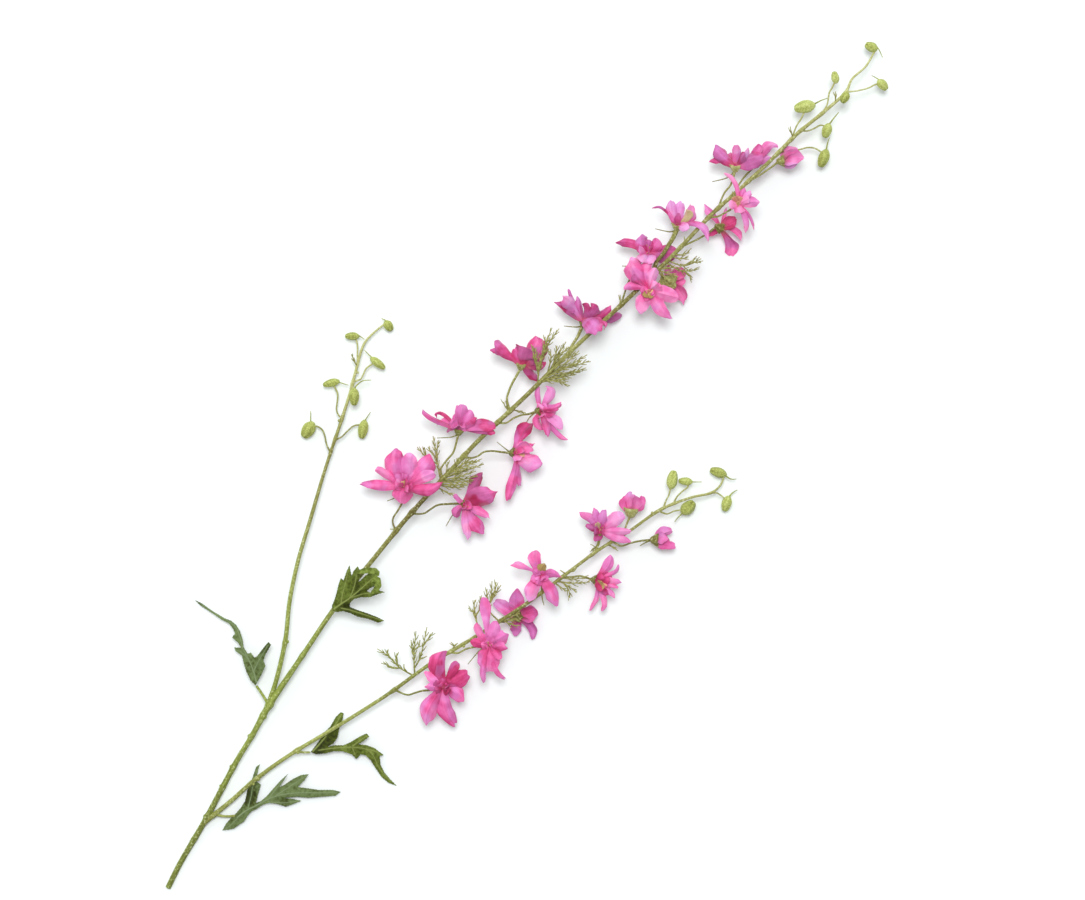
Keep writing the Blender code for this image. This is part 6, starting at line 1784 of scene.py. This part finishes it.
def thread_tree():
    """Edges become smooth tapering threads."""
    tree, given, names = geometry_tree("thread_leaves", [
        ("Edges", "Geometry"), ("Root radius", "Float"), ("Tip radius", "Float"), ("Spacing", "Float"),
        ("Sides", "Int"), ("Material", "Material")])
    lines = add(tree, "GeometryNodeMeshToCurve", {"Mesh": given["Edges"]})
    soft = add(tree, "GeometryNodeCurveSplineType", {"Curve": lines.outputs["Curve"]},
               spline_type="CATMULL_ROM")
    spaced = add(tree, "GeometryNodeResampleCurve", {
        "Curve": soft.outputs["Curve"], "Length": given["Spacing"]}, mode="LENGTH")
    ring = add(tree, "GeometryNodeCurvePrimitiveCircle", {"Resolution": given["Sides"], "Radius": 1.0})
    share = add(tree, "GeometryNodeInputNamedAttribute", {"Name": "share"}, data_type="FLOAT")
    stout = add(tree, "GeometryNodeInputNamedAttribute", {"Name": "stout"}, data_type="FLOAT")
    taper = add(tree, "ShaderNodeMapRange", {
        "Value": share.outputs["Attribute"], "To Min": given["Root radius"], "To Max": given["Tip radius"]})
    size = math_of(tree, "MULTIPLY", taper.outputs["Result"], stout.outputs["Attribute"])
    skin = add(tree, "GeometryNodeCurveToMesh", {
        "Curve": spaced.outputs["Curve"], "Profile Curve": ring.outputs["Curve"], "Scale": size,
        "Fill Caps": True})
    finish_tree(tree, skin.outputs["Mesh"], given["Material"])
    return tree, names


def forked(points, chance):
    """Short side threads of one thread, alternating left and right."""
    length = sum((second - first).length for first, second in zip(points, points[1:]))
    forks = []
    if length < FORK_FROM:
        return forks
    for count in range(int(length / FORK_SPACING)):
        along = (count + chance.uniform(0.1, 0.9)) * FORK_SPACING / length
        share = min(FORK_LAST, FORK_FIRST + FORK_RUN * along)
        index = min(int(share * (len(points) - 1)), len(points) - 2)
        run = points[index + 1] - points[index]
        root = points[index] + run * (share * (len(points) - 1) - index)
        turn = (1 if count % 2 else -1) * chance.uniform(*FORK_TURN)
        ahead = Matrix.Rotation(turn, 3, "Z") @ run.normalized()
        reach = chance.uniform(*FORK_REACH) * (1 - 0.35 * share) * MM
        lift = Vector((0, 0, chance.uniform(*FORK_LIFT) * MM))
        bend = Matrix.Rotation(-0.5 * turn, 3, "Z") @ ahead
        forks.append([root, root + ahead * reach * 0.5 + lift,
                      root + (ahead + bend) * reach * 0.5 + 1.6 * lift])
    return forks


def thread_edges(stem):
    """Bare edges of all the threads on a stem, with their shares along and their stoutness."""
    chance = random.Random("threads of " + stem.name)
    lines = []
    middle = centre_line(stem)
    for frond in FRONDS:
        if frond.stem != stem.name:
            continue
        earlier = [middle]
        for thread in frond.threads:
            points = [place(*entry) for entry in thread]
            root, distance = nearest_on(earlier, points[0])
            if distance < ROOT_CATCH:
                points[0] = root
            earlier.append(points)
            lines.append((points, 1.0))
            lines += [(fork, FORK_STOUTNESS) for fork in forked(points, chance)]
    mesh = bpy.data.meshes.new(stem.name + "_threads")
    corners = [point for points, _ in lines for point in points]
    edges = []
    shares = []
    stoutness = []
    for points, stout in lines:
        first = len(shares)
        shares += [index / (len(points) - 1) for index in range(len(points))]
        stoutness += [stout] * len(points)
        edges += [(first + index, first + index + 1) for index in range(len(points) - 1)]
    mesh.from_pydata(corners, edges, [])
    for title, values in (("share", shares), ("stout", stoutness)):
        mesh.attributes.new(title, "FLOAT", "POINT").data.foreach_set("value", values)
    return mesh


def thread_material():
    """Fresh to dry olive of the thread leaves, lighter to their tips."""
    material, tree, shader = new_material("thread_olive", 0.6, 0.25)
    flecks = effect(tree, MOTTLE, Scale=500.0, Detail=3.0)
    moved = math_of(tree, "ADD", math_of(tree, "MULTIPLY", painted(tree, "share"), 0.35),
                    math_of(tree, "MULTIPLY", flecks, 0.65))
    colour = mixed(tree, dryness(tree), ramp(tree, moved, FRESH_THREAD), ramp(tree, moved, DRY_THREAD))
    join(tree, colour, shader["Base Color"])
    return material


THREAD_OLIVE = thread_material()
tree, names = thread_tree()
for stem in STEMS:
    threads = grown(stem.name + "_threads", thread_edges(stem), tree, names, {
        "Root radius": 0.68 * MM, "Tip radius": 0.36 * MM, "Spacing": 1.2 * MM, "Sides": 6,
        "Material": THREAD_OLIVE})
    hand_over(threads, stem.name)
    print(threads.name, "has", len(threads.data.polygons), "faces")

# %% [markdown]
# The stamens of this plant sit in a tuft in the middle of the bloom, each a thin filament with a
# small anther. The tree makes one tuft standing upright at the origin, and the mesh is then turned
# to look out of its bloom. Its first input only takes the empty mesh that it starts from. Six
# blooms show stamens; the other hearts are closed or out of sight.

# %% Stamens
FILAMENT_TONE = 0.1
ANTHER_TONE = 0.7


def stamen_tree():
    """Tuft of stamens that stands upright on the origin."""
    tree, given, names = geometry_tree("stamen_tuft", [
        ("Start", "Geometry"), ("Count", "Int"), ("Length", "Float"), ("Filament radius", "Float"),
        ("Anther radius", "Float"), ("Spread", "Float"), ("Seed", "Int"), ("Material", "Material")])
    top = add(tree, "ShaderNodeCombineXYZ", {"Z": given["Length"]}).outputs["Vector"]
    line = add(tree, "GeometryNodeCurvePrimitiveLine", {"End": top})
    ring = add(tree, "GeometryNodeCurvePrimitiveCircle", {
        "Resolution": 4, "Radius": given["Filament radius"]})
    filament = add(tree, "GeometryNodeCurveToMesh", {
        "Curve": line.outputs["Curve"], "Profile Curve": ring.outputs["Curve"], "Fill Caps": True})
    ball = add(tree, "GeometryNodeMeshUVSphere", {
        "Segments": 6, "Rings": 4, "Radius": given["Anther radius"]})
    lifted = add(tree, "GeometryNodeTransform", {"Geometry": ball.outputs["Mesh"], "Translation": top})
    stamen = add(tree, "GeometryNodeJoinGeometry")
    for mesh, tone in ((filament.outputs["Mesh"], FILAMENT_TONE), (lifted.outputs["Geometry"], ANTHER_TONE)):
        toned = add(tree, "GeometryNodeStoreNamedAttribute", {
            "Geometry": mesh, "Name": "tone", "Value": tone}, data_type="FLOAT", domain="POINT")
        join(tree, toned.outputs["Geometry"], stamen.inputs["Geometry"])
    spots = add(tree, "GeometryNodePoints", {"Count": given["Count"]})
    least = math_of(tree, "MULTIPLY", given["Spread"], -1.0)
    low = add(tree, "ShaderNodeCombineXYZ", {"X": least, "Y": least})
    high = add(tree, "ShaderNodeCombineXYZ", {"X": given["Spread"], "Y": given["Spread"]})
    lean = add(tree, "FunctionNodeRandomValue", {
        "Min": low.outputs["Vector"], "Max": high.outputs["Vector"], "Seed": given["Seed"]},
        data_type="FLOAT_VECTOR")
    size = add(tree, "FunctionNodeRandomValue", {2: 0.7, 3: 1.15, "Seed": given["Seed"]}, data_type="FLOAT")
    planted = add(tree, "GeometryNodeInstanceOnPoints", {
        "Points": spots.outputs["Points"], "Instance": stamen.outputs["Geometry"],
        "Rotation": lean.outputs["Value"], "Scale": size.outputs[1]})
    finish_tree(tree, planted.outputs["Instances"], given["Material"])
    return tree, names


tree, names = stamen_tree()
tufted = [(number, bloom) for number, bloom in enumerate(BLOOMS) if bloom.heart.stamens]
for number, bloom in tufted:
    tuft = grown(bloom.name + "_stamens", bpy.data.meshes.new("spot"), tree, names, {
        "Count": bloom.heart.stamens, "Length": 5.4 * MM, "Filament radius": 0.17 * MM,
        "Anther radius": 0.48 * MM, "Spread": 0.50, "Seed": number + 1, "Material": HEART_CREAM})
    facing = facing_of(bloom)
    turn = facing.to_track_quat("Z", "Y").to_matrix().to_4x4()
    tuft.data.transform(Matrix.Translation(place(*bloom.seat) + facing * 0.6 * EYE_LENGTH) @ turn)
    hand_over(tuft, bloom.name)
print("tufts of stamens:", len(tufted), "stamens in all:", sum(bloom.heart.stamens for _, bloom in tufted))

# %% [markdown]
# Stems and pedicels of this plant are downy. Hair curves would be lost in the export, so the hairs
# are thin three-sided cones, sown over the skin and turned along its normal. They keep off the
# lowest part, where the stem lies on the table.

# %% Hairs
def hair_tree():
    """Short hairs sown over a skin."""
    tree, given, names = geometry_tree("downy_hairs", [
        ("Skin", "Geometry"), ("Density", "Float"), ("Length", "Float"), ("Thickness", "Float"),
        ("Lowest", "Float"), ("Seed", "Int"), ("Material", "Material")])
    sown = add(tree, "GeometryNodeDistributePointsOnFaces", {
        "Mesh": given["Skin"], "Density": given["Density"], "Seed": given["Seed"]})
    height = parts_of(tree, add(tree, "GeometryNodeInputPosition").outputs["Position"])["Z"]
    high = add(tree, "FunctionNodeCompare", {0: height, 1: given["Lowest"]},
               data_type="FLOAT", operation="GREATER_THAN")
    hair = add(tree, "GeometryNodeMeshCone", {
        "Vertices": 3, "Radius Top": 0.0, "Radius Bottom": given["Thickness"], "Depth": given["Length"]})
    size = add(tree, "FunctionNodeRandomValue", {2: 0.45, 3: 1.0}, data_type="FLOAT")
    lean = add(tree, "FunctionNodeRandomValue", {"Min": (-0.5,) * 3, "Max": (0.5,) * 3},
               data_type="FLOAT_VECTOR")
    turn = add(tree, "FunctionNodeRotateRotation", {
        "Rotation": sown.outputs["Rotation"], "Rotate By": lean.outputs["Value"]}, rotation_space="LOCAL")
    planted = add(tree, "GeometryNodeInstanceOnPoints", {
        "Points": sown.outputs["Points"], "Selection": high.outputs["Result"],
        "Instance": hair.outputs["Mesh"], "Rotation": turn.outputs["Rotation"], "Scale": size.outputs[1]})
    finish_tree(tree, planted.outputs["Instances"], given["Material"])
    return tree, names


def hair_material():
    """Pale down, mottled between two greens."""
    material, tree, shader = new_material("pale_down", 0.7, 0.2)
    mottle = effect(tree, MOTTLE, Scale=60.0, Detail=2.0)
    join(tree, mixed(tree, mottle, (0.30, 0.33, 0.11), (0.46, 0.50, 0.22)), shader["Base Color"])
    return material


PALE_DOWN = hair_material()
tree, names = hair_tree()
for number, stem in enumerate(STEMS):
    skin = skin_pieces[stem.name].data.copy()
    skin.materials.clear()
    hairs = grown(stem.name + "_hairs", skin, tree, names, {
        "Density": 4.2e5, "Length": 0.75 * MM, "Thickness": 0.075 * MM, "Lowest": 1.4 * MM,
        "Seed": number + 11, "Material": PALE_DOWN})
    hand_over(hairs, stem.name)
    print(hairs.name, "has", len(hairs.data.polygons), "faces")

# %% [markdown]
# ## Table, light and camera
#
# The spray lies on a plain white table, photographed from straight above. The white is faintly
# cool, which takes up the pink that the blooms throw into their shadows. The light is soft and
# comes mostly from everywhere, with one large lamp towards the top of the picture, so that each
# stem drops a short blurred shadow. The camera hangs high above with a long lens, which keeps the
# heights of the spray from shifting anything on the picture.

# %% The table
TABLE_SIZE = 14.0
TABLE_TOP = -0.05 * MM
TABLE_WHITES = ((0.898, 0.945, 0.945), (0.908, 0.955, 0.955))


def white_table():
    """Large plain table top just under the spray."""
    mesh = bpy.data.meshes.new("table")
    half = TABLE_SIZE / 2
    corners = [(x * half, y * half, TABLE_TOP) for x, y in ((-1, -1), (1, -1), (1, 1), (-1, 1))]
    mesh.from_pydata(corners, [], [(0, 1, 2, 3)])
    material, tree, shader = new_material("white_table", 0.9, 0.1)
    mottle = effect(tree, MOTTLE, Scale=3.0, Detail=1.0)
    join(tree, mixed(tree, mottle, *TABLE_WHITES), shader["Base Color"])
    mesh.materials.append(material)
    set_out("table", mesh)


white_table()
print("table:", TABLE_SIZE, "m across")

# %% The light and the camera
SKY_STRENGTH = 0.62
SKY_LEAN = 0.85
SKY_SIDE = (-0.5, 0.85)
LAMP_STRENGTH = 1.85
LAMP_TILT = math.radians(12)
LAMP_SPREAD = math.radians(20)
LENS = 200.0
SENSOR = 36.0
AIM_HEIGHT = 20.0
PICTURE_UP = turned(0, 1, 0)
PICTURE_RIGHT = turned(1, 0, 0)


def towards(direction, up):
    """Turn of a lamp or a camera that looks along a direction, with the picture's top upwards."""
    back = -direction.normalized()
    right = up.cross(back).normalized()
    return Matrix((right, back.cross(right), back)).transposed().to_4x4()


def soft_light():
    """Sky that is brighter towards the picture's upper left, and one wide lamp from its top."""
    world = bpy.data.worlds.new("studio")
    world.use_nodes = True
    tree = world.node_tree
    sky = tree.nodes["Background"]
    sky.inputs["Color"].default_value = (1.0, 1.0, 1.0, 1.0)
    brighter = (SKY_SIDE[0] * PICTURE_RIGHT + SKY_SIDE[1] * PICTURE_UP).normalized()
    where = add(tree, "ShaderNodeTexCoord").outputs["Generated"]
    side = add(tree, "ShaderNodeVectorMath", {0: where, 1: tuple(brighter)}, operation="DOT_PRODUCT")
    slope = math_of(tree, "MULTIPLY_ADD", side.outputs["Value"], SKY_LEAN * SKY_STRENGTH, SKY_STRENGTH)
    join(tree, slope, sky.inputs["Strength"])
    bpy.context.scene.world = world
    lamp_data = bpy.data.lights.new("lamp", "SUN")
    lamp_data.energy = LAMP_STRENGTH
    lamp_data.angle = LAMP_SPREAD
    falling = -(PICTURE_UP * math.sin(LAMP_TILT) + Vector((0, 0, 1)) * math.cos(LAMP_TILT))
    set_out("lamp", lamp_data).matrix_world = towards(falling, PICTURE_UP)


def overhead_camera():
    """Camera that hangs over the middle of the plan, turned as the plan is."""
    camera_data = bpy.data.cameras.new("camera")
    camera_data.lens = LENS
    camera_data.sensor_width = SENSOR
    camera = set_out("camera", camera_data)
    aim = place(PLAN_SIZE.x / 2, PLAN_SIZE.y / 2, AIM_HEIGHT)
    distance = PLAN_SIZE.x * STEP * LENS / SENSOR
    hung = Matrix.Translation(aim + Vector((0, 0, distance)))
    camera.matrix_world = hung @ towards(Vector((0, 0, -1)), PICTURE_UP)
    camera_data.clip_end = 3 * distance
    bpy.context.scene.camera = camera
    return distance


soft_light()
print("camera distance:", round(overhead_camera(), 2), "m")
bpy.context.scene.view_settings.view_transform = "Standard"
bpy.context.scene.view_settings.look = "None"

# %% [markdown]
# ## The finished size
#
# The finished spray should be as large as its solids, give or take a thin edge. Both sizes are
